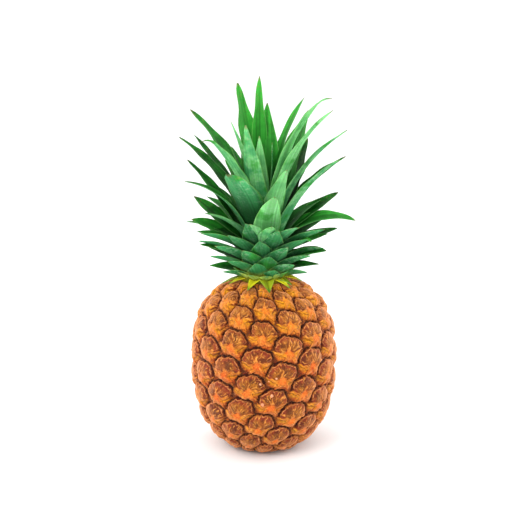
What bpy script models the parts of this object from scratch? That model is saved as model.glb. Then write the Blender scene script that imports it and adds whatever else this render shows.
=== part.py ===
"""A ripe pineapple standing on its base: the fruit with its spirals of eyes, the crown and the cut stalk.

Metres, +Z up, the origin at the centre of the base, the front towards -Y.
"""

import math

import bmesh
import bpy
import numpy as np

MM = 0.001

# The fruit's body: a barrel whose section through the axis is a superellipse
FRUIT_RADIUS = 62.0 * MM
SHOULDER_RISE = 70.2 * MM
BELLY_DROP = 82.5 * MM
BARREL_POWER = 2.5
BASE_FLAT_RADIUS = 22.0 * MM
TOP_FLAT_RADIUS = 21.0 * MM

# The spirals of eyes: three eyes in each level, and each level turned against the one above it
EYES_PER_LEVEL = 3
LEVEL_TURN = math.radians(46.6)
LEVEL_STEP = 4.6 * MM
FRONT_EYE_TURN = math.radians(1.4)
FRONT_EYE_ARC = 36.8 * MM
SPIRAL_BEND = math.radians(-10.5)
SPIRAL_BEND_ARC = 70.0 * MM
EYE_RINGS = (1.0, 0.84, 0.52)
EYE_RELIEF = 2.4 * MM
EYE_DOME = 1.4 * MM
EYE_SINK = 1.9 * MM
BASE_FADE = 12.0 * MM
TOP_FADE = 8.0 * MM
EDGE_SNAP = 0.4 * MM

# The cut stalk, seated in a recess of the base
STALK_RADIUS = 12.5 * MM
STALK_DEPTH = 6.0 * MM
STALK_RIM = 0.8 * MM
STALK_SIDES = 30
RECESS_SIDES = 60
SEAT_GAP = 0.3 * MM

# The crown's stem, widest at its foot
STEM_RADIUS = 20.0 * MM
STEM_HEIGHT = 66.0 * MM
STEM_POWER = 2.2
STEM_SIDES = 20
STEM_RINGS = 6

# The leaves: a channelled blade around a curved spine
LEAF_RINGS = 5
FOOT_LEAF_RINGS = 4
COLLAR_SCALE_RINGS = 3
BLADE_THICKNESS = 1.5 * MM
TIP_THICKNESS = 0.9 * MM
CHANNEL_DEPTH = 0.16
TRIANGULAR = 1.25
POINTED = 1.8
BROAD = 3.0
BLUNT = 6.0
ROOT_SUNK = 4.0 * MM
ROOT_WIDTH = 0.7
GOLDEN_TURN = math.radians(137.508)

# Leaves the front view shows, in degrees and millimetres: the turn from the front towards +X, the tip's reach
# from the axis, the tip's rise over the crown's foot, the width, the bend of the spine in degrees, the root's
# rise, the roll, which turns the channelled face to the front where it is positive and the keel to the front
# where negative, and the outline's fullness
SHOWN_LEAVES = (
    (-143, 6, 172, 23, -8, 56, 0, POINTED),
    (-136, 32, 164, 32, 0, 54, 0, POINTED),
    (170, 17, 148, 27, 0, 58, 0, POINTED),
    (-28, 32, 136, 24, -4, 52, 0, POINTED),
    (-25, 9, 124, 17, -4, 60, 0, POINTED),
    (95, 7, 117, 14, -4, 60, 0, POINTED),
    (-150, 8, 119, 14, -4, 60, 0, POINTED),
    (113, 37, 153, 19, 18, 54, 10, POINTED),
    (68, 57, 162, 21, 22, 50, -10, POINTED),
    (131, 51, 139, 29, 4, 48, 0, BROAD),
    (60, 65, 149, 22, 24, 46, 0, POINTED),
    (23, 48, 102, 23, 8, 44, 0, POINTED),
    (127, 47, 116, 30, -8, 44, 0, POINTED),
    (72, 72, 131, 18, 22, 42, -14, POINTED),
    (105, 72, 102, 19, 18, 40, 14, POINTED),
    (64, 69, 108, 20, 18, 34, -10, POINTED),
    (114, 70, 69, 21, 4, 34, 16, BROAD),
    (98, 79, 48, 26, 36, 31, 26, POINTED),
    (109, 67, 39, 20, 8, 22, 28, POINTED),
    (-118, 71, 140, 25, 16, 50, 4, POINTED),
    (-59, 56, 128, 22, 18, 48, 0, BROAD),
    (-66, 30, 137, 14, 8, 56, -10, POINTED),
    (-122, 71, 118, 18, 10, 42, 4, POINTED),
    (-107, 75, 118, 20, 19, 40, 16, POINTED),
    (-107, 68, 99, 20, 9, 29, 18, POINTED),
    (-81, 67, 86, 18, 36, 32, 12, POINTED),
    (-114, 66, 66, 22, 0, 30, 20, BROAD),
    (-101, 63, 49, 22, 12, 24, 26, BROAD),
    (-62, 55, 62, 22, 22, 32, 0, POINTED),
    (-80, 57, 43, 20, 18, 22, 16, POINTED),
    (-30, 57, 99, 30, 10, 40, 0, BLUNT),
    (9, 57, 82, 25, 12, 36, 0, POINTED),
    (-14, 46, 57, 24, 10, 28, 0, POINTED),
    (8, 46, 55, 23, 10, 26, 0, POINTED),
    (34, 52, 54, 25, 12, 28, 0, POINTED),
    (63, 45, 38, 20, 30, 22, 10, POINTED),
    (77, 54, 27, 21, 10, 16, 20, BROAD),
    (-88, 54, 30, 19, 10, 17, 20, POINTED),
)

# Leaves placed by rule: the hidden back of the crown, the short ones round its foot, and the small scales of
# the collar that hang over the fruit's shoulder
BACK_LEAVES = 18
BACK_SPREAD = math.radians(72.0)
FOOT_LEAVES = 42
FOOT_START = math.radians(20.0)
COLLAR_SCALES = 12
DRAW_SEED = 7


def new_material(name, color, roughness):
    """Returns a new material with a base colour and a roughness."""
    material = bpy.data.materials.new(name)
    material.use_nodes = True
    shader = material.node_tree.nodes["Principled BSDF"]
    shader.inputs["Base Color"].default_value = (*color, 1.0)
    shader.inputs["Roughness"].default_value = roughness
    shader.inputs["Metallic"].default_value = 0.0
    return material


def new_object(name, points, faces, collection):
    """Returns an object of this collection with these corner points and faces, each face turned outwards."""
    mesh = bpy.data.meshes.new(name)
    mesh.from_pydata([tuple(point) for point in points], [], faces)
    shape = bmesh.new()
    shape.from_mesh(mesh)
    bmesh.ops.recalc_face_normals(shape, faces=shape.faces)
    shape.to_mesh(mesh)
    shape.free()
    obj = bpy.data.objects.new(name, mesh)
    collection.objects.link(obj)
    return obj


def ring_faces(rings, sides):
    """Returns the quads between neighbouring rings, each ring being `sides` points in order."""
    faces = []
    for ring in range(rings - 1):
        low = ring * sides
        high = low + sides
        for side in range(sides):
            after = (side + 1) % sides
            faces.append((low + side, low + after, high + after, high + side))
    return faces


def barrel_radius(height):
    """Returns the body's radius at this height over its widest place."""
    half = np.where(height > 0, SHOULDER_RISE, BELLY_DROP)
    share = np.clip(np.abs(height) / half, 0.0, 1.0)
    return FRUIT_RADIUS * (1.0 - share**BARREL_POWER) ** (1.0 / BARREL_POWER)


def flat_height(half, radius):
    """Returns how far from the widest place the body narrows to this radius."""
    return half * (1.0 - (radius / FRUIT_RADIUS) ** BARREL_POWER) ** (1.0 / BARREL_POWER)


def barrel_profile():
    """Returns the section from the base flat upwards: arc length from the widest place, height and radius."""
    # Equal steps of the angle of a superellipse crowd the points where it turns fastest
    angle = np.linspace(-math.pi / 2, math.pi / 2, 4001)
    half = np.where(angle > 0, SHOULDER_RISE, BELLY_DROP)
    height = half * np.sign(angle) * np.abs(np.sin(angle)) ** (2.0 / BARREL_POWER)
    radius = barrel_radius(height)
    low = -flat_height(BELLY_DROP, BASE_FLAT_RADIUS)
    high = flat_height(SHOULDER_RISE, TOP_FLAT_RADIUS)
    inside = (height > low) & (height < high)
    height = np.concatenate([[low], height[inside], [high]])
    radius = np.concatenate([[BASE_FLAT_RADIUS], radius[inside], [TOP_FLAT_RADIUS]])
    arc = np.concatenate([[0.0], np.cumsum(np.hypot(np.diff(height), np.diff(radius)))])
    arc -= np.interp(0.0, height, arc)
    return arc, height, radius


def neighbour_steps():
    """Returns the steps from an eye to its six neighbours, clockwise, as sideways and upward distances."""
    whole = 2.0 * math.pi / EYES_PER_LEVEL
    levels = (3, 5, 2)
    down = [np.array([math.remainder(k * LEVEL_TURN, whole) * FRUIT_RADIUS, -k * LEVEL_STEP]) for k in levels]
    return down + [-step for step in down]


def cell_points():
    """Returns twelve points round an eye's cell: the middle of each step to a neighbour, and each corner.

    The cell's sides stand square on the middles of the steps, so a corner is as far from two neighbours as
    from the eye itself.
    """
    steps = neighbour_steps()
    points = []
    for step, after in zip(steps, steps[1:] + steps[:1]):
        points.append(step / 2.0)
        points.append(np.linalg.solve([step, after], [step @ step / 2.0, after @ after / 2.0]))
    return np.array(points)


def eye_relief(side, up, steps):
    """Returns how far the skin stands out at this step from an eye's centre.

    It is a cushion, higher over its upper half. The share of the way from the centre to the cell's side is 1
    in the groove between two eyes.
    """
    share = max(2.0 * abs(side * step[0] + up * step[1]) / (step @ step) for step in steps)
    share = min(share, 1.0)
    dome = EYE_DOME * min(max(0.5 + up / (8.0 * MM), 0.0), 1.0) * (1.0 - share**6)
    return EYE_RELIEF * (1.0 - share**4) + dome - EYE_SINK


def build_eyes(low, high):
    """Returns a mesh of all the eyes on a straight tube, cut off at these two arc lengths.

    Each eye is a six-sided cell of rings around its centre, and neighbours share the points of their sides.
    The tube has the fruit's greatest radius, z is the arc length, and the layer named relief holds how far
    each point stands out.
    """
    steps = neighbour_steps()
    cell = cell_points()
    margin = cell[:, 1].max()
    first = math.floor((FRONT_EYE_ARC - high - margin) / LEVEL_STEP)
    last = math.ceil((FRONT_EYE_ARC - low + margin) / LEVEL_STEP)
    tube = bmesh.new()
    relief = tube.verts.layers.float.new("relief")

    def add_point(turn, arc, side, up):
        around = turn + side / FRUIT_RADIUS
        point = tube.verts.new((FRUIT_RADIUS * math.sin(around), -FRUIT_RADIUS * math.cos(around), arc + up))
        point[relief] = eye_relief(side, up, steps)
        return point

    for level in range(first, last + 1):
        arc = FRONT_EYE_ARC - level * LEVEL_STEP
        for eye in range(EYES_PER_LEVEL):
            turn = FRONT_EYE_TURN + LEVEL_TURN * level + 2.0 * math.pi * eye / EYES_PER_LEVEL
            rings = [[add_point(turn, arc, *(point * share)) for point in cell] for share in EYE_RINGS]
            centre = add_point(turn, arc, 0.0, 0.0)
            for corner in range(len(cell)):
                after = (corner + 1) % len(cell)
                for outer, inner in zip(rings, rings[1:]):
                    tube.faces.new((outer[after], outer[corner], inner[corner], inner[after]))
                tube.faces.new((rings[-1][after], rings[-1][corner], centre))
    bmesh.ops.remove_doubles(tube, verts=tube.verts, dist=0.01 * MM)
    bmesh.ops.triangulate(tube, faces=tube.faces)
    for arc, below in ((low, True), (high, False)):
        geometry = [*tube.verts, *tube.edges, *tube.faces]
        bmesh.ops.bisect_plane(
            tube,
            geom=geometry,
            dist=EDGE_SNAP,
            plane_co=(0.0, 0.0, arc),
            plane_no=(0.0, 0.0, 1.0),
            clear_inner=below,
            clear_outer=not below,
        )
    return tube


def open_loop(shape, height):
    """Returns the open edges of the shape whose two ends lie at this height."""
    edges = [edge for edge in shape.edges if edge.is_boundary]
    return [edge for edge in edges if all(abs(point.co.z - height) < 1.0e-6 for point in edge.verts)]


def build_fruit(collection):
    """Builds the fruit: the tube of eyes bent into the barrel, a flat top and a base with a recess."""
    arc, height, radius = barrel_profile()
    height = height - height[0]
    shape = build_eyes(arc[0], arc[-1])
    relief = shape.verts.layers.float["relief"]
    rise_rate = np.gradient(height, arc)
    widen_rate = np.gradient(radius, arc)
    for point in shape.verts:
        along = min(max(point.co.z, arc[0]), arc[-1])
        along = arc[0] if along < arc[0] + EDGE_SNAP else along
        along = arc[-1] if along > arc[-1] - EDGE_SNAP else along
        turn = math.atan2(point.co.x, -point.co.y) + SPIRAL_BEND * (along / SPIRAL_BEND_ARC) ** 2
        # The relief stands square to the section and fades out towards both flats
        rise, widen = np.interp(along, arc, rise_rate), np.interp(along, arc, widen_rate)
        fade = min((along - arc[0]) / BASE_FADE, (arc[-1] - along) / TOP_FADE, 1.0)
        stand = point[relief] * fade / math.hypot(rise, widen)
        out = np.interp(along, arc, radius) + stand * rise
        lift = np.interp(along, arc, height) - stand * widen
        point.co = (out * math.sin(turn), -out * math.cos(turn), lift)

    top = height[-1]
    upper = open_loop(shape, top)
    centre = shape.verts.new((0.0, 0.0, top))
    for edge in upper:
        shape.faces.new((*edge.verts, centre))

    recess = STALK_RADIUS + SEAT_GAP
    steps = np.arange(RECESS_SIDES) * 2.0 * math.pi / RECESS_SIDES
    mouth, ceiling = (
        [shape.verts.new((recess * math.sin(step), -recess * math.cos(step), z)) for step in steps]
        for z in (0.0, STALK_DEPTH)
    )
    middle = shape.verts.new((0.0, 0.0, STALK_DEPTH))
    lower = open_loop(shape, 0.0)
    for side in range(RECESS_SIDES):
        after = (side + 1) % RECESS_SIDES
        shape.faces.new((mouth[side], mouth[after], ceiling[after], ceiling[side]))
        shape.faces.new((ceiling[side], ceiling[after], middle))
        lower.append(shape.edges.get((mouth[side], mouth[after])))
    bmesh.ops.triangle_fill(shape, edges=lower, use_beauty=True)
    bmesh.ops.recalc_face_normals(shape, faces=shape.faces)
    mesh = bpy.data.meshes.new("fruit")
    shape.verts.layers.float.remove(relief)
    shape.to_mesh(mesh)
    shape.free()
    fruit = bpy.data.objects.new("fruit", mesh)
    collection.objects.link(fruit)
    mesh.materials.append(new_material("fruit_skin", (0.62, 0.25, 0.06), 0.5))
    return top


def build_stalk(collection):
    """Builds the cut stalk: a short plug with a bevelled rim, flush with the base."""
    turn = np.arange(STALK_SIDES) * 2.0 * math.pi / STALK_SIDES
    profile = (
        (STALK_RADIUS - STALK_RIM, 0.0),
        (STALK_RADIUS, STALK_RIM),
        (STALK_RADIUS, STALK_DEPTH - SEAT_GAP),
    )
    points = []
    for radius, height in profile:
        points.extend(zip(radius * np.sin(turn), -radius * np.cos(turn), np.full(STALK_SIDES, height)))
    points.append((0.0, 0.0, 0.0))
    points.append((0.0, 0.0, STALK_DEPTH - SEAT_GAP))
    faces = ring_faces(len(profile), STALK_SIDES)
    high = (len(profile) - 1) * STALK_SIDES
    for side in range(STALK_SIDES):
        after = (side + 1) % STALK_SIDES
        faces.append((after, side, len(points) - 2))
        faces.append((high + side, high + after, len(points) - 1))
    stalk = new_object("stalk", points, faces, collection)
    stalk.data.materials.append(new_material("stalk_fibre", (0.48, 0.33, 0.16), 0.8))


def stem_radius(rise):
    """Returns the crown stem's radius at this rise over its foot."""
    share = min(max(rise / STEM_HEIGHT, 0.0), 1.0)
    return STEM_RADIUS * (1.0 - share**STEM_POWER) ** 0.5


def build_stem(foot, collection):
    """Builds the crown's stem: a blunt cone that the leaves stand out of."""
    turn = np.arange(STEM_SIDES) * 2.0 * math.pi / STEM_SIDES
    points = []
    for ring in range(STEM_RINGS):
        rise = STEM_HEIGHT * math.sin(math.pi / 2 * ring / STEM_RINGS)
        radius = stem_radius(rise)
        points.extend(zip(radius * np.sin(turn), -radius * np.cos(turn), np.full(STEM_SIDES, foot + rise)))
    points.append((0.0, 0.0, foot))
    points.append((0.0, 0.0, foot + STEM_HEIGHT))
    faces = ring_faces(STEM_RINGS, STEM_SIDES)
    high = (STEM_RINGS - 1) * STEM_SIDES
    for side in range(STEM_SIDES):
        after = (side + 1) % STEM_SIDES
        faces.append((after, side, len(points) - 2))
        faces.append((high + side, high + after, len(points) - 1))
    return new_object("crown_stem", points, faces, collection)


def leaf_spine(reach, rise, bend, root_rise, rings):
    """Returns points along the spine as reach from the axis and rise, and its lean from the vertical at each.

    The spine is a cubic curve that leaves the stem `bend` steeper than the straight line to the tip, and ends
    as much flatter than it.
    """
    root = np.array([max(stem_radius(root_rise) - ROOT_SUNK, 0.5 * MM), root_rise])
    tip = np.array([reach, rise])
    length = np.linalg.norm(tip - root)
    lean = math.atan2(tip[0] - root[0], tip[1] - root[1])
    near = root + 0.36 * length * np.array([math.sin(lean - bend), math.cos(lean - bend)])
    far = tip - 0.36 * length * np.array([math.sin(lean + bend), math.cos(lean + bend)])
    t = np.linspace(0.0, 1.0, rings + 1)[:, None]
    spine = (1 - t) ** 3 * root + 3 * (1 - t) ** 2 * t * near + 3 * (1 - t) * t**2 * far + t**3 * tip
    along = 3 * (1 - t) ** 2 * (near - root) + 6 * (1 - t) * t * (far - near) + 3 * t**2 * (tip - far)
    return spine, np.arctan2(along[:, 0], along[:, 1])


def build_leaf(name, turn, reach, rise, width, bend, root_rise, roll, fullness, rings, foot, collection):
    """Builds one leaf: rings of four points, the two edges, the keel and the channel, closed by the tip."""
    spine, lean = leaf_spine(reach, rise, bend, root_rise, rings)
    out = np.array([math.sin(turn), -math.cos(turn), 0.0])
    side = np.array([math.cos(turn), math.sin(turn), 0.0])
    up = np.array([0.0, 0.0, 1.0])
    roll = math.copysign(1.0, math.sin(turn)) * roll
    points = []
    for ring in range(rings):
        t = ring / rings
        clasp = ROOT_WIDTH + (1.0 - ROOT_WIDTH) * min(t / 0.25, 1.0)
        half = 0.5 * width * clasp * (1.0 - t**fullness) ** 0.8
        centre = out * spine[ring, 0] + up * (foot + spine[ring, 1])
        # The upper face looks towards the axis on a steep leaf and upwards on a flat one
        flat_upper = up * math.sin(lean[ring]) - out * math.cos(lean[ring])
        across = side * math.cos(roll * t) + flat_upper * math.sin(roll * t)
        upper = flat_upper * math.cos(roll * t) - side * math.sin(roll * t)
        thick = BLADE_THICKNESS + (TIP_THICKNESS - BLADE_THICKNESS) * t
        channel = 2.0 * half * CHANNEL_DEPTH
        points.append(centre - across * half + upper * channel)
        points.append(centre - upper * thick * 0.5)
        points.append(centre + across * half + upper * channel)
        points.append(centre + upper * thick * 0.5)
    points.append(out * spine[-1, 0] + up * (foot + spine[-1, 1]))
    faces = ring_faces(rings, 4)
    faces.append((3, 2, 1))
    faces.append((3, 1, 0))
    tip = len(points) - 1
    high = (rings - 1) * 4
    for corner in range(4):
        faces.append((high + corner, high + (corner + 1) % 4, tip))
    # Each quad is split in the same sense on both faces of the blade
    triangles = []
    for face in faces:
        if len(face) == 4:
            triangles.append((face[0], face[1], face[2]))
            triangles.append((face[0], face[2], face[3]))
        else:
            triangles.append(face)
    return new_object(name, points, triangles, collection)


def leaf_plan():
    """Returns every leaf as turn, reach, rise, width, bend, root rise, roll, fullness and rings.

    Angles are in radians and lengths in metres.
    """
    draw = np.random.default_rng(DRAW_SEED)
    plan = []
    for turn, reach, rise, width, bend, root, roll, fullness in SHOWN_LEAVES:
        lengths = (reach * MM, rise * MM, width * MM, math.radians(bend), root * MM)
        plan.append((math.radians(turn), *lengths, math.radians(roll), fullness, LEAF_RINGS))
    for index in range(BACK_LEAVES):
        # The golden turn, folded into the hidden sector behind the stem
        sweep = math.remainder(index * GOLDEN_TURN, 2.0 * math.pi) / math.pi
        share = index / (BACK_LEAVES - 1)
        turn = math.pi + sweep * BACK_SPREAD
        reach = (30.0 + 40.0 * share**0.7 + draw.uniform(-3.0, 3.0)) * MM
        rise = (116.0 - 68.0 * share + draw.uniform(-4.0, 4.0)) * MM
        width = (21.0 + draw.uniform(-2.0, 2.0)) * MM
        bend = math.radians(8.0 + 12.0 * share)
        plan.append((turn, reach, rise, width, bend, (52.0 - 28.0 * share) * MM, 0.0, POINTED, LEAF_RINGS))
    for index in range(FOOT_LEAVES):
        share = index / (FOOT_LEAVES - 1)
        turn = FOOT_START + index * GOLDEN_TURN
        # The leaves in front stand steeper and turn their keels to the front, the rest their channelled faces
        front = max(math.cos(turn), 0.0)
        facing = -18.0 - 28.0 * abs(math.sin(turn)) if front > 0.0 else 24.0
        reach = (38.0 + 22.0 * share**0.6 - 9.0 * front + draw.uniform(-2.0, 2.0)) * MM
        rise = (1.0 + 45.0 * share**1.05 + 15.0 * front + draw.uniform(-2.0, 2.0)) * MM
        width = (24.0 + 3.0 * share) * MM
        bend = math.radians(8.0)
        root = (1.4 + 27.0 * share**1.15) * MM
        roll = math.radians(facing + draw.uniform(-10.0, 10.0))
        plan.append((turn, reach, rise, width, bend, root, roll, TRIANGULAR, FOOT_LEAF_RINGS))
    for index in range(COLLAR_SCALES):
        # The further a scale reaches over the shoulder, the lower it hangs
        reach = (34.5 + draw.uniform(-3.0, 3.0)) * MM
        rise = 17.0 * MM - 0.55 * reach
        turn = 2.0 * math.pi * (index + draw.uniform(-0.4, 0.4)) / COLLAR_SCALES
        width = (12.0 + draw.uniform(-3.5, 3.5)) * MM
        bend = math.radians(10.0)
        plan.append((turn, reach, rise, width, bend, 2.2 * MM, 0.0, TRIANGULAR, COLLAR_SCALE_RINGS))
    return plan


def keep_largest_shell(mesh):
    """Drops every closed shell but the largest, because fusing leaves small sealed hollows between leaves."""
    shape = bmesh.new()
    shape.from_mesh(mesh)
    unseen = set(shape.faces)
    shells = []
    while unseen:
        shell = [unseen.pop()]
        for face in shell:
            for edge in face.edges:
                for other in edge.link_faces:
                    if other in unseen:
                        unseen.remove(other)
                        shell.append(other)
        shells.append(shell)
    shells.sort(key=len)
    for shell in shells[:-1]:
        bmesh.ops.delete(shape, geom=shell, context="FACES")
    shape.to_mesh(mesh)
    shape.free()


def build_crown(foot, collection, helpers):
    """Builds the crown: the stem and all its leaves, fused into one body."""
    stem = build_stem(foot, collection)
    for index, leaf in enumerate(leaf_plan()):
        build_leaf(f"leaf_{index:02d}", *leaf, foot, helpers)
    fuse = stem.modifiers.new("fuse_leaves", "BOOLEAN")
    fuse.operation = "UNION"
    fuse.operand_type = "COLLECTION"
    fuse.collection = helpers
    fuse.solver = "MANIFOLD"
    bpy.context.view_layer.update()
    graph = bpy.context.evaluated_depsgraph_get()
    fused = bpy.data.meshes.new_from_object(stem.evaluated_get(graph))
    stem.modifiers.clear()
    keep_largest_shell(fused)
    stem.data = fused
    stem.name = "crown"
    for leaf in list(helpers.objects):
        bpy.data.objects.remove(leaf, do_unlink=True)
    stem.data.materials.clear()
    stem.data.materials.append(new_material("leaf_green", (0.10, 0.32, 0.14), 0.5))


def main():
    """Clears the scene and builds the pineapple."""
    for obj in list(bpy.data.objects):
        bpy.data.objects.remove(obj, do_unlink=True)
    scene = bpy.context.scene
    parts = bpy.data.collections.new("pineapple")
    helpers = bpy.data.collections.new("leaves_to_fuse")
    scene.collection.children.link(parts)
    scene.collection.children.link(helpers)
    helpers.hide_render = True
    top = build_fruit(parts)
    build_stalk(parts)
    build_crown(top + SEAT_GAP, parts, helpers)


main()
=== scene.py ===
"""Looks of a ripe pineapple that stands on a pale floor.

The fruit's skin, its cut stalk and every leaf of the crown are surfaces worked out on grids, and fitted to
the solids of the frame. Metres, +Z up, the front towards -Y. Sizes in millimetres are multiplied by MM.
"""

from __future__ import annotations

import logging
import math
from dataclasses import dataclass, field, replace
from enum import Enum

import bpy
import numpy as np
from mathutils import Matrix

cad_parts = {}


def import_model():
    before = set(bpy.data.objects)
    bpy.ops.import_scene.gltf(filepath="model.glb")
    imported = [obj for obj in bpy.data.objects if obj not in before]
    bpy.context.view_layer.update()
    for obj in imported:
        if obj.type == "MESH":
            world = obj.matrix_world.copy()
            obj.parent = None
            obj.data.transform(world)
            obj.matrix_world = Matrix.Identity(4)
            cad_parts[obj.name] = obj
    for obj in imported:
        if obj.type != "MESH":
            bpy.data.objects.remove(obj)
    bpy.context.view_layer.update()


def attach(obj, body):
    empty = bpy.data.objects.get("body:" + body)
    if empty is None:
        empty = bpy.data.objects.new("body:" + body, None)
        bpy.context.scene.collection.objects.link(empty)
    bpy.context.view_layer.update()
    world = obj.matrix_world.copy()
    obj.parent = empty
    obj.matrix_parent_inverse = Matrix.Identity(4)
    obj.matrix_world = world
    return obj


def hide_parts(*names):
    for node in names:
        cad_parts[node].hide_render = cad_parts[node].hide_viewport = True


LOG = logging.getLogger("pineapple")
MM = 0.001
FAR_OUTSIDE = -99.0
CROWN_GAP = 0.3 * MM
HEART_ROOT = 56.0
RIND_FIELDS = ("dome", "star", "arm", "crack", "groove", "upper", "depth")
Colour = tuple[float, float, float, float]


def paint(red: float, green: float, blue: float) -> Colour:
    """Turns a colour given in screen values into scene-linear values.

    Args:
        red: Red from 0 to 255.
        green: Green from 0 to 255.
        blue: Blue from 0 to 255.

    Returns:
        The linear colour with full alpha.
    """
    share = np.array([red, green, blue]) / 255.0
    linear = np.where(share <= 0.04045, share / 12.92, ((share + 0.055) / 1.055) ** 2.4)
    return (*(float(value) for value in linear), 1.0)


def ease(value: np.ndarray, low: float, high: float) -> np.ndarray:
    """Rises smoothly from 0 at `low` to 1 at `high`: s squared times (3 - 2 s), with s the share of the way.

    Args:
        value: The values to ease.
        low: Where the result is 0.
        high: Where the result is 1.

    Returns:
        An array of the same shape.
    """
    share = np.clip((value - low) / (high - low), 0.0, 1.0)
    return share * share * (3.0 - 2.0 * share)


def bell(value: np.ndarray, middle: float, width: float) -> np.ndarray:
    """Returns 1 at the middle and less to both sides: exp(-((value - middle) / width) ** 2)."""
    return np.exp(-(((value - middle) / width) ** 2))


def full_turn(sides: int) -> np.ndarray:
    """Returns evenly spaced angles round a full turn, in radians."""
    return np.arange(sides) * 2.0 * math.pi / sides


def on_axis(*heights: float) -> np.ndarray:
    """Returns points on the fruit's axis at these heights."""
    return np.array([[0.0, 0.0, height] for height in heights])


def turned(radius: np.ndarray, turn: np.ndarray, height: np.ndarray) -> np.ndarray:
    """Places points about the fruit's axis, at x = radius * sin(turn) and y = -radius * cos(turn).

    Args:
        radius: Distances from the axis.
        turn: Turns from the front towards +X, in radians.
        height: Heights over the floor.

    Returns:
        An array of points, one row each.
    """
    radius, turn, height = np.broadcast_arrays(radius, turn, height)
    return np.stack([radius * np.sin(turn), -radius * np.cos(turn), height], axis=-1).reshape(-1, 3)


def ring_quads(rings: int, sides: int) -> np.ndarray:
    """Numbers the faces between neighbouring closed rings of points.

    Args:
        rings: How many rings there are.
        sides: How many points each ring has.

    Returns:
        An array of four point numbers a face, facing outwards where the rings run anticlockwise and upwards.
    """
    ring, side = np.meshgrid(np.arange(rings - 1), np.arange(sides), indexing="ij")
    after = (side + 1) % sides
    low, high = ring * sides, (ring + 1) * sides
    return np.stack([low + side, low + after, high + after, high + side], axis=-1).reshape(-1, 4)


def end_fans(rings: int, sides: int) -> np.ndarray:
    """Numbers the triangles that close a tube at both ends, about centre points numbered after its rings.

    Args:
        rings: How many rings the tube has, its centre points not counted.
        sides: How many points each ring has.

    Returns:
        An array of three point numbers a face, facing outwards as the tube's other faces do.
    """
    count = rings * sides
    side = np.arange(sides)
    after = (side + 1) % sides
    first = np.stack([after, side, np.full(sides, count)], axis=-1)
    last = np.stack([side + count - sides, after + count - sides, np.full(sides, count + 1)], axis=-1)
    return np.concatenate([first, last])


def add_object(name: str, data: bpy.types.ID) -> bpy.types.Object:
    """Makes an object of this data and links it to the scene."""
    made = bpy.data.objects.new(name, data)
    bpy.context.scene.collection.objects.link(made)
    return made


@dataclass
class Skin:
    """A mesh in the making: points, four-sided and three-sided faces, and the fields its material reads."""

    points: np.ndarray
    quads: np.ndarray
    triangles: np.ndarray
    scalars: dict[str, np.ndarray] = field(default_factory=dict)
    vectors: dict[str, np.ndarray] = field(default_factory=dict)

    @classmethod
    def tube(cls, points: np.ndarray, sides: int, **fields: dict[str, np.ndarray]) -> Skin:
        """Makes a closed tube.

        Args:
            points: Rings of points, and after them the centre points of the first and of the last ring.
            sides: How many points each ring has.
            **fields: Its scalars and vectors, where it has any.

        Returns:
            The skin, facing outwards where the rings run anticlockwise and upwards.
        """
        rings = (len(points) - 2) // sides
        return cls(points, ring_quads(rings, sides), end_fans(rings, sides), **fields)

    @classmethod
    def joined(cls, skins: list[Skin]) -> Skin:
        """Joins several skins into one.

        Args:
            skins: Skins that carry the same fields.

        Returns:
            One skin with the faces renumbered.
        """
        starts = np.cumsum([0] + [len(skin.points) for skin in skins[:-1]])
        return cls(
            points=np.concatenate([skin.points for skin in skins]),
            quads=np.concatenate([skin.quads + start for skin, start in zip(skins, starts)]),
            triangles=np.concatenate([skin.triangles + start for skin, start in zip(skins, starts)]),
            scalars={key: np.concatenate([skin.scalars[key] for skin in skins]) for key in skins[0].scalars},
            vectors={key: np.concatenate([skin.vectors[key] for skin in skins]) for key in skins[0].vectors},
        )

    def turned_over(self) -> Skin:
        """Returns the same skin with every face turned over."""
        return replace(self, quads=self.quads[:, ::-1], triangles=self.triangles[:, ::-1])

    def piece(self, name: str, material: bpy.types.Material) -> bpy.types.Object:
        """Makes the object, smooth shaded, at the origin.

        Args:
            name: The piece's name.
            material: Its finish.

        Returns:
            The new object, linked to the scene.
        """
        mesh = bpy.data.meshes.new(name)
        mesh.from_pydata(self.points.tolist(), [], self.quads.tolist() + self.triangles.tolist())
        for kind, part, stock in (("FLOAT", "value", self.scalars), ("FLOAT_VECTOR", "vector", self.vectors)):
            for key, values in stock.items():
                store = mesh.attributes.new(key, kind, "POINT").data
                store.foreach_set(part, values.astype(np.float32).ravel())
        mesh.shade_smooth()
        mesh.materials.append(material)
        return add_object(name, mesh)


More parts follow.
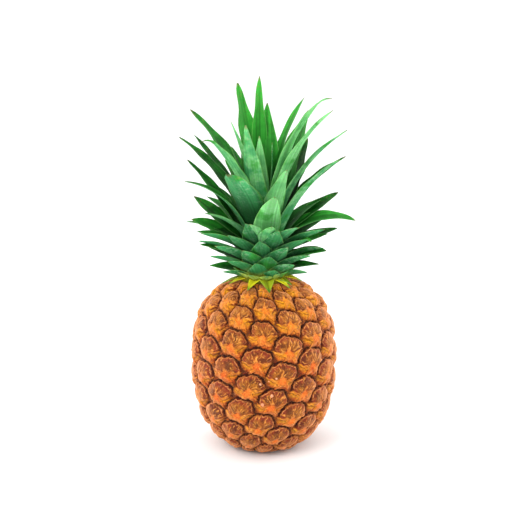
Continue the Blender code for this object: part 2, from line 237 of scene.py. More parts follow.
class Bench:
    """Lays out the nodes of one material or node group."""

    def __init__(self, tree: bpy.types.NodeTree) -> None:
        """Starts on this node tree."""
        self.tree = tree

    def add(self, kind: str, **settings: object) -> bpy.types.Node:
        """Adds a node.

        Args:
            kind: The node's type name after "ShaderNode".
            **settings: Properties to set on it.

        Returns:
            The new node.
        """
        node = self.tree.nodes.new(f"ShaderNode{kind}")
        for key, value in settings.items():
            setattr(node, key, value)
        return node

    def feed(self, socket: bpy.types.NodeSocket, value: object) -> None:
        """Links an output into the socket, or sets the socket's own value."""
        if isinstance(value, bpy.types.NodeSocket):
            self.tree.links.new(value, socket)
        else:
            socket.default_value = value

    def fill(self, node: bpy.types.Node, **values: object) -> None:
        """Feeds the node's named inputs, with an underscore for each space of a name."""
        for key, value in values.items():
            self.feed(node.inputs[key.replace("_", " ")], value)

    def math(self, operation: str, *values: object, clamp: bool = False) -> bpy.types.NodeSocket:
        """Adds a Math node and returns its result."""
        node = self.add("Math", operation=operation, use_clamp=clamp)
        for socket, value in zip(node.inputs, values):
            self.feed(socket, value)
        return node.outputs[0]

    def times(self, product: object, *factors: object) -> bpy.types.NodeSocket:
        """Multiplies the values one after another and returns the product."""
        for factor in factors:
            product = self.math("MULTIPLY", product, factor)
        return product

    def scaled(self, value: object, scale: object, shift: object) -> bpy.types.NodeSocket:
        """Returns the value times the scale, plus the shift."""
        return self.math("MULTIPLY_ADD", value, scale, shift)

    def distance(self, across: object, up: object) -> bpy.types.NodeSocket:
        """Returns the root of the sum of both squares."""
        squares = [self.math("POWER", value, 2.0) for value in (across, up)]
        return self.math("SQRT", self.math("ADD", *squares))

    def step(self, value: object, low: object, high: object) -> bpy.types.NodeSocket:
        """Adds a smooth rise from 0 at `low` to 1 at `high` and returns its result."""
        node = self.add("MapRange", interpolation_type="SMOOTHSTEP")
        self.fill(node, Value=value, From_Min=low, From_Max=high)
        return node.outputs["Result"]

    def band(self, value: object, low: float, top: float, high: float) -> bpy.types.NodeSocket:
        """Returns a smooth hump: 0 below `low`, 1 at `top`, 0 above `high`."""
        return self.times(self.step(value, low, top), self.step(value, high, top))

    def noise(self, place: object, scale: object, detail: float) -> bpy.types.NodeSocket:
        """Adds a noise and returns its value."""
        node = self.add("TexNoise")
        self.fill(node, Vector=place, Scale=scale, Detail=detail)
        return node.outputs["Fac"]

    def mix(self, share: object, first: object, second: object, blend: str = "MIX") -> bpy.types.NodeSocket:
        """Adds a colour mix and returns its result.

        Args:
            share: How much of the second colour.
            first: The first colour.
            second: The second colour.
            blend: How the second is laid over the first.

        Returns:
            The mixed colour's output.
        """
        node = self.add("Mix", data_type="RGBA", blend_type=blend)
        for index, value in ((0, share), (6, first), (7, second)):
            self.feed(node.inputs[index], value)
        return node.outputs[2]

    def lay(self, ground: object, *coats: tuple[object, ...]) -> bpy.types.NodeSocket:
        """Lays coats of colour over a ground.

        Args:
            ground: The ground's colour.
            *coats: For each coat, its masks and the most it covers, all multiplied, and last its colour.

        Returns:
            The last coat's mix.
        """
        for *masks, colour in coats:
            ground = self.mix(self.times(*masks), ground, colour)
        return ground

    def read(self, name: str, output: str = "Fac") -> bpy.types.NodeSocket:
        """Reads one of the mesh's own fields."""
        return self.add("Attribute", attribute_type="GEOMETRY", attribute_name=name).outputs[output]

    def split(self, vector: bpy.types.NodeSocket) -> tuple[bpy.types.NodeSocket, ...]:
        """Splits a vector into its three parts."""
        node = self.add("SeparateXYZ")
        self.feed(node.inputs[0], vector)
        return tuple(node.outputs)

    def join(self, *parts: object) -> bpy.types.NodeSocket:
        """Joins three parts into a vector."""
        node = self.add("CombineXYZ")
        for socket, value in zip(node.inputs, parts):
            self.feed(socket, value)
        return node.outputs[0]

    def place(self) -> bpy.types.NodeSocket:
        """Returns the place on the object."""
        return self.add("TexCoord").outputs["Object"]

    def group(self, tree: bpy.types.NodeTree, **values: object) -> bpy.types.NodeSocket:
        """Places a node group, feeds its named inputs and returns its first output."""
        node = self.add("Group", node_tree=tree)
        self.fill(node, **values)
        return node.outputs[0]


@dataclass(frozen=True)
class SharedEffects:
    """Node groups that several finishes use."""

    mottle: bpy.types.NodeTree
    streaks: bpy.types.NodeTree

    @classmethod
    def build(cls) -> SharedEffects:
        """Builds the groups once."""
        return cls(mottle=cls._mottle(), streaks=cls._streaks())

    @staticmethod
    def _start(name: str, numbers: dict[str, float]) -> tuple[Bench, dict[str, bpy.types.NodeSocket]]:
        """Starts a group with a Place input, number inputs and one Mask output.

        Args:
            name: The group's name.
            numbers: The number inputs' names and defaults.

        Returns:
            A bench on the group and its inputs by name.
        """
        tree = bpy.data.node_groups.new(name, "ShaderNodeTree")
        tree.interface.new_socket("Place", in_out="INPUT", socket_type="NodeSocketVector")
        for label, default in numbers.items():
            socket = tree.interface.new_socket(label, in_out="INPUT", socket_type="NodeSocketFloat")
            socket.default_value = default
        tree.interface.new_socket("Mask", in_out="OUTPUT", socket_type="NodeSocketFloat")
        entry = tree.nodes.new("NodeGroupInput")
        tree.nodes.new("NodeGroupOutput")
        return Bench(tree), {socket.name: socket for socket in entry.outputs if socket.name}

    @staticmethod
    def _finish(bench: Bench, mask: bpy.types.NodeSocket) -> bpy.types.NodeTree:
        """Sends the mask to the group's output and returns the group."""
        exit_node = next(node for node in bench.tree.nodes if node.bl_idname == "NodeGroupOutput")
        bench.fill(exit_node, Mask=mask)
        return bench.tree

    @classmethod
    def _mottle(cls) -> bpy.types.NodeTree:
        """Builds soft patches: a noise with its values stretched between Low and High."""
        bench, sockets = cls._start("Mottle", {"Scale": 100.0, "Low": 0.4, "High": 0.6})
        noise = bench.noise(sockets["Place"], sockets["Scale"], detail=3.0)
        return cls._finish(bench, bench.step(noise, sockets["Low"], sockets["High"]))

    @classmethod
    def _streaks(cls) -> bpy.types.NodeTree:
        """Builds fine streaks along the second axis of Place: a noise squeezed across and stretched along."""
        bench, sockets = cls._start("Streaks", {"Across": 1000.0, "Along": 40.0, "Contrast": 1.6})
        across, along, other = bench.split(sockets["Place"])
        squeezed = bench.join(
            bench.times(across, sockets["Across"]),
            bench.times(along, sockets["Along"]),
            other,
        )
        centred = bench.math("SUBTRACT", bench.noise(squeezed, 1.0, detail=2.0), 0.5)
        spread = bench.math("MULTIPLY_ADD", centred, sockets["Contrast"], 0.5, clamp=True)
        return cls._finish(bench, spread)


class Finish:
    """A material with one Principled shader; each kind of finish lays out its own colours."""

    def start(self, name: str) -> tuple[bpy.types.Material, Bench, bpy.types.Node]:
        """Starts the material.

        Args:
            name: The material's name.

        Returns:
            The material, a bench on its nodes and its Principled node.
        """
        material = bpy.data.materials.new(name)
        material.use_nodes = True
        shader = material.node_tree.nodes["Principled BSDF"]
        return material, Bench(material.node_tree), shader

    def raise_bumps(self, bench: Bench, shader: bpy.types.Node, height: object, depth: float) -> None:
        """Feeds a height pattern to the shader's normal.

        Args:
            bench: The bench in use.
            shader: The Principled node.
            height: The pattern.
            depth: How deep the pattern goes, in metres.
        """
        bump = bench.add("Bump")
        bench.fill(bump, Distance=depth, Strength=1.0, Height=height)
        bench.fill(shader, Normal=bump.outputs["Normal"])


@dataclass(frozen=True)
class RindFinish(Finish):
    """The fruit's rind: tan and mauve domes, dark crevices, and bracts of orange, yellow and salmon."""

    salmon: Colour = paint(232, 146, 90)
    orange: Colour = paint(226, 124, 42)
    red_orange: Colour = paint(180, 54, 12)
    yellow: Colour = paint(250, 206, 46)
    olive: Colour = paint(166, 152, 28)
    rust: Colour = paint(120, 32, 10)
    crevice: Colour = paint(72, 14, 6)
    tan: Colour = paint(172, 124, 52)
    straw: Colour = paint(216, 164, 90)
    mauve: Colour = paint(138, 56, 52)
    umber: Colour = paint(76, 30, 16)
    lip: Colour = paint(248, 194, 172)
    peach: Colour = paint(252, 186, 120)
    streak: Colour = paint(255, 200, 136)
    bloom: Colour = paint(244, 164, 112)
    painted_slant_sheen: Colour = paint(255, 196, 178)
    warmth: Colour = paint(246, 208, 140)
    belly: tuple[float, float, float] = (15.0 * MM, 70.0 * MM, 130.0 * MM)
    shoulder: tuple[float, float] = (100.0 * MM, 140.0 * MM)
    foot: tuple[float, float] = (45.0 * MM, 8.0 * MM)
    ray_drop: float = 4.0
    slant: tuple[float, float] = (0.24, 0.86)
    slant_blend: float = 0.4
    slant_share: float = 0.95
    hollow_shade: tuple[float, float] = (-1.3, 1.4)
    gloss: float = 0.16
    sheen: float = 0.5
    sheen_roughness: float = 0.45
    fold_depth: float = 0.8 * MM

    def build(self, effects: SharedEffects) -> bpy.types.Material:
        """Builds the material.

        Args:
            effects: The shared node groups.

        Returns:
            The finished material.
        """
        material, bench, shader = self.start("rind")
        place = bench.place()
        height = bench.split(place)[2]
        dome, star, arm, crack, groove, upper, depth = (bench.read(key) for key in RIND_FIELDS)
        eye_x, eye_y, luck = bench.split(bench.read("eye", "Vector"))

        # Rays run from each eye's heart: the angle about it is the streaks' across, the distance their along
        lift = bench.math("ADD", eye_y, self.ray_drop)
        far = bench.distance(eye_x, lift)
        rays = bench.join(bench.math("ARCTAN2", eye_x, lift), far, bench.times(luck, 40.0))
        fine_rays = bench.group(effects.streaks, Place=rays, Across=9.0, Along=0.25, Contrast=2.4)
        broad_rays = bench.group(effects.streaks, Place=rays, Across=4.0, Along=0.18, Contrast=2.2)
        grain = bench.group(effects.mottle, Place=place, Scale=520.0, Low=0.3, High=0.7)
        patches = bench.group(effects.mottle, Place=place, Scale=34.0, Low=0.4, High=0.62)
        spots = bench.group(effects.mottle, Place=place, Scale=150.0, Low=0.38, High=0.62)

        belly = bench.band(height, *self.belly)
        shoulder = bench.step(height, *self.shoulder)
        foot = bench.step(height, *self.foot)
        flesh = bench.lay(
            self.salmon,
            (patches, 0.5, self.orange),
            (belly, spots, 0.75, self.red_orange),
            (arm, 0.9, self.yellow),
            (arm, spots, 0.6, self.olive),
            (shoulder, 0.8, self.yellow),
            (bench.step(broad_rays, 0.42, 0.1), 0.5, self.red_orange),
            (groove, 0.9, self.rust),
            # Rust tissue with painted shade in the crevice just above each dome
            (bench.step(dome, -3.6, -1.0), upper, 0.6, self.rust),
        )
        bract = bench.lay(
            self.orange,
            (bench.step(far, 2.0, 6.0), 0.7, self.yellow),
            (bench.step(eye_y, -5.0, -10.0), 0.8, self.salmon),
            (patches, belly, 0.6, self.red_orange),
            (bench.step(eye_y, -4.0, 0.0), 0.8, self.peach),
            (bench.step(fine_rays, 0.55, 0.9), 0.7, self.peach),
            (bench.step(fine_rays, 0.42, 0.08), bench.step(far, 0.8, 3.0), 0.8, self.red_orange),
        )
        rim = bench.step(bench.math("ADD", dome, bench.times(broad_rays, 2.4)), 7.0, 2.8)
        ruddy = bench.math("ADD", bench.times(luck, 0.6), patches)
        cap = bench.lay(
            self.tan,
            (bench.step(fine_rays, 0.5, 0.9), 0.45, self.straw),
            (rim, 0.85, self.mauve),
            (shoulder, 0.4, self.straw),
            (ruddy, 0.45, self.mauve),
            (bench.step(spots, 0.4, 0.0), 0.65, self.umber),
            (bench.step(fine_rays, 0.38, 0.1), 0.55, self.umber),
            (bench.band(dome, -0.6, 0.2, 1.2), 0.85, self.rust),
        )
        torn = bench.scaled(fine_rays, 1.0, dome)
        ragged = bench.scaled(grain, 0.5, bench.math("SUBTRACT", dome, 0.25))
        frayed = bench.scaled(fine_rays, 0.8, bench.math("SUBTRACT", star, 0.4))
        skin = bench.lay(
            flesh,
            (bench.step(ragged, -0.15, 0.2), cap),
            (bench.band(torn, 0.55, 1.1, 1.6), upper, 0.85, self.lip),
            (bench.band(star, -1.0, -0.3, 0.2), 0.7, self.rust),
            (bench.step(frayed, -0.3, 0.8), bench.scaled(luck, 0.4, 0.5), bract),
            # Pale fibres with painted highlights along the rays
            (bench.step(fine_rays, 0.64, 0.92), 0.65, self.streak),
            # Dark tissue with painted shade in the crevices between the eyes
            (crack, 0.97, self.crevice),
            (foot, 0.2, self.umber),
        )
        # Painted sheen: the waxy skin is painted paler and pinker where it is seen at a slant, for the side
        # light on it
        slant = bench.add("LayerWeight")
        bench.fill(slant, Blend=self.slant_blend)
        facing = bench.step(slant.outputs["Facing"], *self.slant)
        pale = bench.lay(skin, (facing, self.slant_share, self.painted_slant_sheen))
        # Painted shade: the recesses are darkened by their depth, and the darker, the redder, as if lit
        # through flesh
        hollow_shade = bench.step(depth, *self.hollow_shade)
        pattern_and_painted_shade = bench.scaled(hollow_shade, 0.78, bench.scaled(grain, 0.34, 0.03))
        shade_and_grain_tint = bench.join(pattern_and_painted_shade, bench.math("POWER", pattern_and_painted_shade, 1.5), bench.math("POWER", pattern_and_painted_shade, 2.2))
        shaded = bench.mix(1.0, bench.mix(1.0, pale, shade_and_grain_tint, blend="MULTIPLY"), self.warmth, blend="MULTIPLY")
        bench.fill(
            shader,
            Base_Color=shaded,
            Roughness=bench.scaled(grain, 0.2, 0.36),
            Specular_IOR_Level=self.gloss,
            Sheen_Weight=self.sheen,
            Sheen_Roughness=self.sheen_roughness,
            Sheen_Tint=self.bloom,
        )
        folds = bench.times(fine_rays, bench.step(far, 1.0, 5.0))
        self.raise_bumps(bench, shader, bench.scaled(grain, 0.25, folds), self.fold_depth)
        return material


@dataclass(frozen=True)
class LeafFinish(Finish):
    """A crown leaf: green inside, pale with a white scurf outside, yellow at low roots, dry at the tip."""

    deep: Colour = paint(8, 80, 10)
    bright: Colour = paint(62, 172, 58)
    mint: Colour = paint(124, 206, 124)
    sea: Colour = paint(68, 156, 94)
    keel_shade: Colour = paint(40, 124, 60)
    rubbed: Colour = paint(44, 148, 34)
    shade: Colour = paint(4, 48, 10)
    scurf: Colour = paint(160, 212, 168)
    margin: Colour = paint(136, 190, 100)
    root: Colour = paint(214, 204, 30)
    dry: Colour = paint(112, 108, 66)
    fleck: Colour = paint(126, 118, 62)
    gloss: float = 0.12
    vein_depth: float = 0.15 * MM

    def build(self, effects: SharedEffects) -> bpy.types.Material:
        """Builds the material.

        Args:
            effects: The shared node groups.

        Returns:
            The finished material.
        """
        material, bench, shader = self.start("leaf")
        blade = bench.read("blade", "Vector")
        along, across, face = bench.split(bench.read("spot", "Vector"))
        fresh_and_lit, age, luck = bench.split(bench.read("growth", "Vector"))

        veins = bench.group(effects.streaks, Place=blade, Across=1300.0, Along=16.0, Contrast=1.5)
        ribs = bench.group(effects.streaks, Place=blade, Across=520.0, Along=10.0, Contrast=3.6)
        cloud = bench.group(effects.mottle, Place=blade, Scale=90.0, Low=0.35, High=0.65)
        dust = bench.group(effects.mottle, Place=blade, Scale=420.0, Low=0.46, High=0.62)
        worn = bench.group(effects.mottle, Place=blade, Scale=55.0, Low=0.55, High=0.66)
        edge = bench.math("ABSOLUTE", across)

        # Painted light and shade: lit leaves are painted brighter and leaves in shade darker, besides their
        # own freshness
        light = bench.math("ADD", fresh_and_lit, bench.scaled(cloud, 0.3, -0.15), clamp=True)
        inside = bench.mix(light, self.deep, self.bright)
        outside = bench.lay(
            self.sea,
            (bench.step(fresh_and_lit, 0.35, 0.0), self.keel_shade),
            (bench.step(light, 0.4, 0.85), self.mint),
            (dust, cloud, 0.4, self.scurf),
            (worn, 0.7, self.rubbed),
        )
        ripe = bench.times(bench.read("ripe"), bench.scaled(luck, 0.7, 0.25))
        colour = bench.lay(
            outside,
            (face, inside),
            (bench.step(edge, 0.84, 0.98), 0.35, self.margin),
            (bench.step(along, 0.95, 0.3), bench.read("sunk"), 0.92, self.shade),
            (bench.step(along, 0.42, 0.12), bench.step(age, 0.8, 0.98), 0.3, self.root),
            (ripe, bench.step(along, 1.02, 0.6), self.root),
            (bench.step(dust, 0.8, 1.0), bench.step(along, 0.6, 1.0), 0.3, self.fleck),
            (bench.step(bench.scaled(luck, 0.03, along), 0.975, 1.015), 0.8, self.dry),
        )
        # The channel along the middle of the inner face lies in its own shade
        gutter = bench.times(bench.step(edge, 0.5, 0.0), face)
        lit = bench.scaled(gutter, -0.3, bench.scaled(luck, 0.24, 0.54))
        pattern_and_painted_shade = bench.scaled(veins, 0.3, bench.scaled(ribs, 0.44, lit))
        shaded = bench.mix(1.0, colour, bench.join(pattern_and_painted_shade, pattern_and_painted_shade, pattern_and_painted_shade), blend="MULTIPLY")
        roughness = bench.scaled(face, -0.12, 0.66)
        bench.fill(shader, Base_Color=shaded, Roughness=roughness, Specular_IOR_Level=self.gloss)
        self.raise_bumps(bench, shader, veins, self.vein_depth)
        return material


@dataclass(frozen=True)
class StalkFinish(Finish):
    """The cut stalk: pale woody flesh with darker vessels and a brown weathered rim."""

    flesh: Colour = paint(196, 164, 108)
    vessel: Colour = paint(122, 86, 46)
    bark: Colour = paint(108, 78, 44)
    rim: tuple[float, float] = (12.5 * 0.78 * MM, 12.5 * 0.97 * MM)
    roughness: float = 0.85
    vessel_scale: float = 700.0
    vessel_depth: float = 0.3 * MM

    def build(self, effects: SharedEffects) -> bpy.types.Material:
        """Builds the material.

        Args:
            effects: The shared node groups.

        Returns:
            The finished material.
        """
        material, bench, shader = self.start("stalk")
        place = bench.place()
        x, y, _ = bench.split(place)
        dots = bench.add("TexVoronoi", feature="F1")
        bench.fill(dots, Vector=place, Scale=self.vessel_scale)
        vessels = bench.step(dots.outputs["Distance"], 0.34, 0.2)
        patches = bench.group(effects.mottle, Place=place, Scale=220.0, Low=0.35, High=0.7)
        colour = bench.lay(
            self.flesh,
            (vessels, 0.7, self.vessel),
            (patches, 0.35, self.vessel),
            (bench.step(bench.distance(x, y), *self.rim), self.bark),
        )
        bench.fill(shader, Base_Color=colour, Roughness=self.roughness)
        self.raise_bumps(bench, shader, bench.math("ADD", vessels, patches), self.vessel_depth)
        return material


@dataclass(frozen=True)
class PlainFinish(Finish):
    """A finish of one material all over, with soft patches of a second colour."""

    name: str
    ground: Colour
    patch: Colour
    roughness: float
    transmission: float = 0.0

    def build(self, effects: SharedEffects) -> bpy.types.Material:
        """Builds the material.

        Args:
            effects: The shared node groups.

        Returns:
            The finished material.
        """
        material, bench, shader = self.start(self.name)
        patches = bench.group(effects.mottle, Place=bench.place(), Scale=160.0, Low=0.35, High=0.7)
        colour = bench.mix(patches, self.ground, self.patch)
        bench.fill(shader, Base_Color=colour, Roughness=self.roughness, Transmission_Weight=self.transmission)
        return material


@dataclass(frozen=True)
class Barrel:
    """The fruit's body: a turned superellipse, a little longer below its widest place, flat at both ends."""

    radius: float = 62.0 * MM
    shoulder: float = 70.2 * MM
    belly: float = 82.5 * MM
    power: float = 2.5
    base_flat: float = 22.0 * MM
    top_flat: float = 21.0 * MM
    recess: float = 12.8 * MM
    recess_depth: float = 6.0 * MM
    samples: int = 4001

    def flat_height(self, half: float, radius: float) -> float:
        """Returns how far from its widest place the body narrows to this radius."""
        return half * (1.0 - (radius / self.radius) ** self.power) ** (1.0 / self.power)

    def section(self) -> tuple[np.ndarray, np.ndarray, np.ndarray]:
        """Samples the section: radius = R (1 - |h / H| ^ p) ^ (1 / p), with H the half height on that side.

        Returns:
            Arc length from the widest place, height over the floor, and radius, from the base flat upwards.
        """
        angle = np.linspace(-math.pi / 2, math.pi / 2, self.samples)
        half = np.where(angle > 0, self.shoulder, self.belly)
        height = half * np.sign(angle) * np.abs(np.sin(angle)) ** (2.0 / self.power)
        share = np.clip(np.abs(height) / half, 0.0, 1.0)
        radius = self.radius * (1.0 - share**self.power) ** (1.0 / self.power)
        low = -self.flat_height(self.belly, self.base_flat)
        high = self.flat_height(self.shoulder, self.top_flat)
        inside = (height > low) & (height < high)
        height = np.concatenate([[low], height[inside], [high]])
        radius = np.concatenate([[self.base_flat], radius[inside], [self.top_flat]])
        arc = np.concatenate([[0.0], np.cumsum(np.hypot(np.diff(height), np.diff(radius)))])
        return arc - np.interp(0.0, height, arc), height - low, radius

    def top(self) -> float:
        """Returns the height of the flat top over the floor."""
        return self.flat_height(self.belly, self.base_flat) + self.flat_height(self.shoulder, self.top_flat)


@dataclass(frozen=True)
class EyeSpirals:
    """Where the eyes sit: three in each level, and each level turned against the one above."""

    per_level: int = 3
    turn: float = math.radians(46.6)
    step: float = 4.6 * MM
    front_turn: float = math.radians(1.4)
    front_arc: float = 36.8 * MM
    bend: float = math.radians(-10.5)
    bend_arc: float = 70.0 * MM
    levels: int = 120
    seed: int = 11

    def neighbours(self, radius: float) -> list[tuple[float, float]]:
        """Returns the steps to the three nearest neighbours below an eye: sideways and upwards, in metres."""
        whole = 2.0 * math.pi / self.per_level
        return [(math.remainder(k * self.turn, whole) * radius, -k * self.step) for k in (3, 2, 5)]

    def near(self, turn: np.ndarray, arc: np.ndarray, radius: float) -> list[tuple[np.ndarray, ...]]:
        """Finds the eyes around every point.

        Args:
            turn: The points' turns.
            arc: The points' arc lengths from the widest place.
            radius: The radius that sideways distances are taken at.

        Returns:
            For each eye level nearby: the sideways and upward distance from the eye in millimetres, and the
            eye's own four random numbers from -1 to 1.
        """
        draw = np.random.default_rng(self.seed)
        luck = draw.uniform(-1.0, 1.0, (self.levels, self.per_level, 4))
        whole = 2.0 * math.pi / self.per_level
        base = np.floor((self.front_arc - arc) / self.step)
        found = []
        for shift in range(-4, 6):
            level = base + shift
            off = turn - (self.front_turn + self.turn * level + self.bend * (arc / self.bend_arc) ** 2)
            which = np.round(off / whole)
            across = (off - whole * which) * radius / MM
            up = (arc - (self.front_arc - level * self.step)) / MM
            # Counted a full turn further, an eye still has the same name
            name = np.mod(which, self.per_level).astype(int)
            found.append((across, up, luck[level.astype(int) % self.levels, name]))
        return found


@dataclass(frozen=True)
class EyeForm:
    """One eye in millimetres: a two-lobed dome, and under it a fleshy bract shaped like a star.

    A spike of the star is given by its end, sideways and upwards from the heart, and by its half width at the
    heart. Spreads are how far a value goes up or down from eye to eye.
    """

    half_width: float = 12.6
    top: float = 10.4
    bottom: float = 4.8
    edge_power: float = 2.3
    lean: float = 1.6
    lean_spread: float = 0.5
    width_spread: float = 0.06
    top_spread: float = 0.08
    notch: float = 4.2
    notch_side: float = -1.2
    notch_width: float = 3.0
    wobble: float = 0.6
    heart: tuple[float, float] = (0.3, -4.6)
    heart_spread: float = 0.5
    spike_spread: float = 0.1
    spike_power: float = 0.85
    spikes: tuple[tuple[float, float, float], ...] = (
        (0.2, 9.6, 2.9),
        (-15.0, 3.4, 2.8),
        (15.6, 3.8, 2.8),
        (-7.0, -7.6, 3.4),
        (7.4, -7.4, 3.4),
    )
    swelling_up: float = -7.5
    swelling_size: tuple[float, float] = (7.0, 4.2)
    flank_up: float = -5.6
    flank_climb: float = 0.2
    flank_width: float = 3.5
    flank_start: tuple[float, float] = (2.0, 7.0)
    flank_end: tuple[float, float] = (13.5, 18.0)

    def shaken(self, x: np.ndarray, y: np.ndarray, luck: np.ndarray) -> tuple[np.ndarray, np.ndarray]:
        """Bends the eye's own plane by two low waves each way, which differ from eye to eye."""
        one, two, three, four = (luck[..., index] for index in range(4))
        wave_x = np.sin(0.55 * y + 3.0 * one) + 0.6 * np.sin(1.25 * y + 0.8 * x + 5.0 * two)
        wave_y = np.sin(0.5 * x + 3.0 * three) + 0.6 * np.sin(1.15 * x - 0.7 * y + 5.0 * four)
        return x + self.wobble * wave_x, y + self.wobble * wave_y

    def dome(self, x: np.ndarray, y: np.ndarray, luck: np.ndarray) -> np.ndarray:
        """Works out the distance to the dome's edge along the ray from its middle, positive inside.

        The edge is a superellipse, taller above the middle than below it, and a bell-shaped notch under the
        middle parts it into two lobes.

        Args:
            x: Distances to the right of the eye's middle.
            y: Distances above it.
            luck: The eye's own random numbers.

        Returns:
            An array of the same shape.
        """
        x = x - self.lean - self.lean_spread * luck[..., 2]
        width = self.half_width * (1.0 + self.width_spread * luck[..., 0])
        low = self.bottom - self.notch * bell(x, self.notch_side, self.notch_width)
        tall = np.where(y > 0, self.top * (1.0 + self.top_spread * luck[..., 1]), low)
        power = self.edge_power
        size = (np.abs(x / width) ** power + np.abs(y / tall) ** power) ** (1.0 / power)
        reach = np.hypot(x, y)
        return np.where(size > 1e-6, reach / np.maximum(size, 1e-6) - reach, self.bottom)

    def star(self, x: np.ndarray, y: np.ndarray, luck: np.ndarray) -> np.ndarray:
        """Works out how far inside the bract's star a point lies.

        Each spike narrows from its own half width at the heart to nothing at its end, as a power of what is
        left of its length, and the star is the greatest over its spikes.

        Args:
            x: Distances to the right of the eye's middle.
            y: Distances above it.
            luck: The eye's own random numbers.

        Returns:
            An array of the same shape.
        """
        x = x - self.heart[0]
        y = y - self.heart[1] - self.heart_spread * luck[..., 3]
        best = np.full(np.shape(x), FAR_OUTSIDE)
        for index, (side, rise, width) in enumerate(self.spikes):
            straight = math.hypot(side, rise)
            length = straight * (1.0 + self.spike_spread * luck[..., index % 4])
            unit_x, unit_y = side / straight, rise / straight
            along = (x * unit_x + y * unit_y) / length
            off = np.abs(x * unit_y - y * unit_x)
            inside = width * np.clip(1.0 - along, 0.0, 1.0) ** self.spike_power - off
            behind = np.minimum(along, 0.0) * length
            beyond = np.maximum(along - 1.0, 0.0) * length
            best = np.maximum(best, inside + behind - beyond)
        return best

    def bract(self, x: np.ndarray, y: np.ndarray) -> np.ndarray:
        """Works out the bract's swollen middle: a bell in both directions."""
        return bell(x, 0.0, self.swelling_size[0]) * bell(y, self.swelling_up, self.swelling_size[1])

    def arms(self, x: np.ndarray, y: np.ndarray) -> np.ndarray:
        """Works out the yellow flanks: a bell across a line that climbs outwards, faded in and out."""
        out = np.abs(x)
        line = y - self.flank_climb * out
        along = ease(out, *self.flank_start) * (1.0 - ease(out, *self.flank_end))
        return bell(line, self.flank_up, self.flank_width) * along


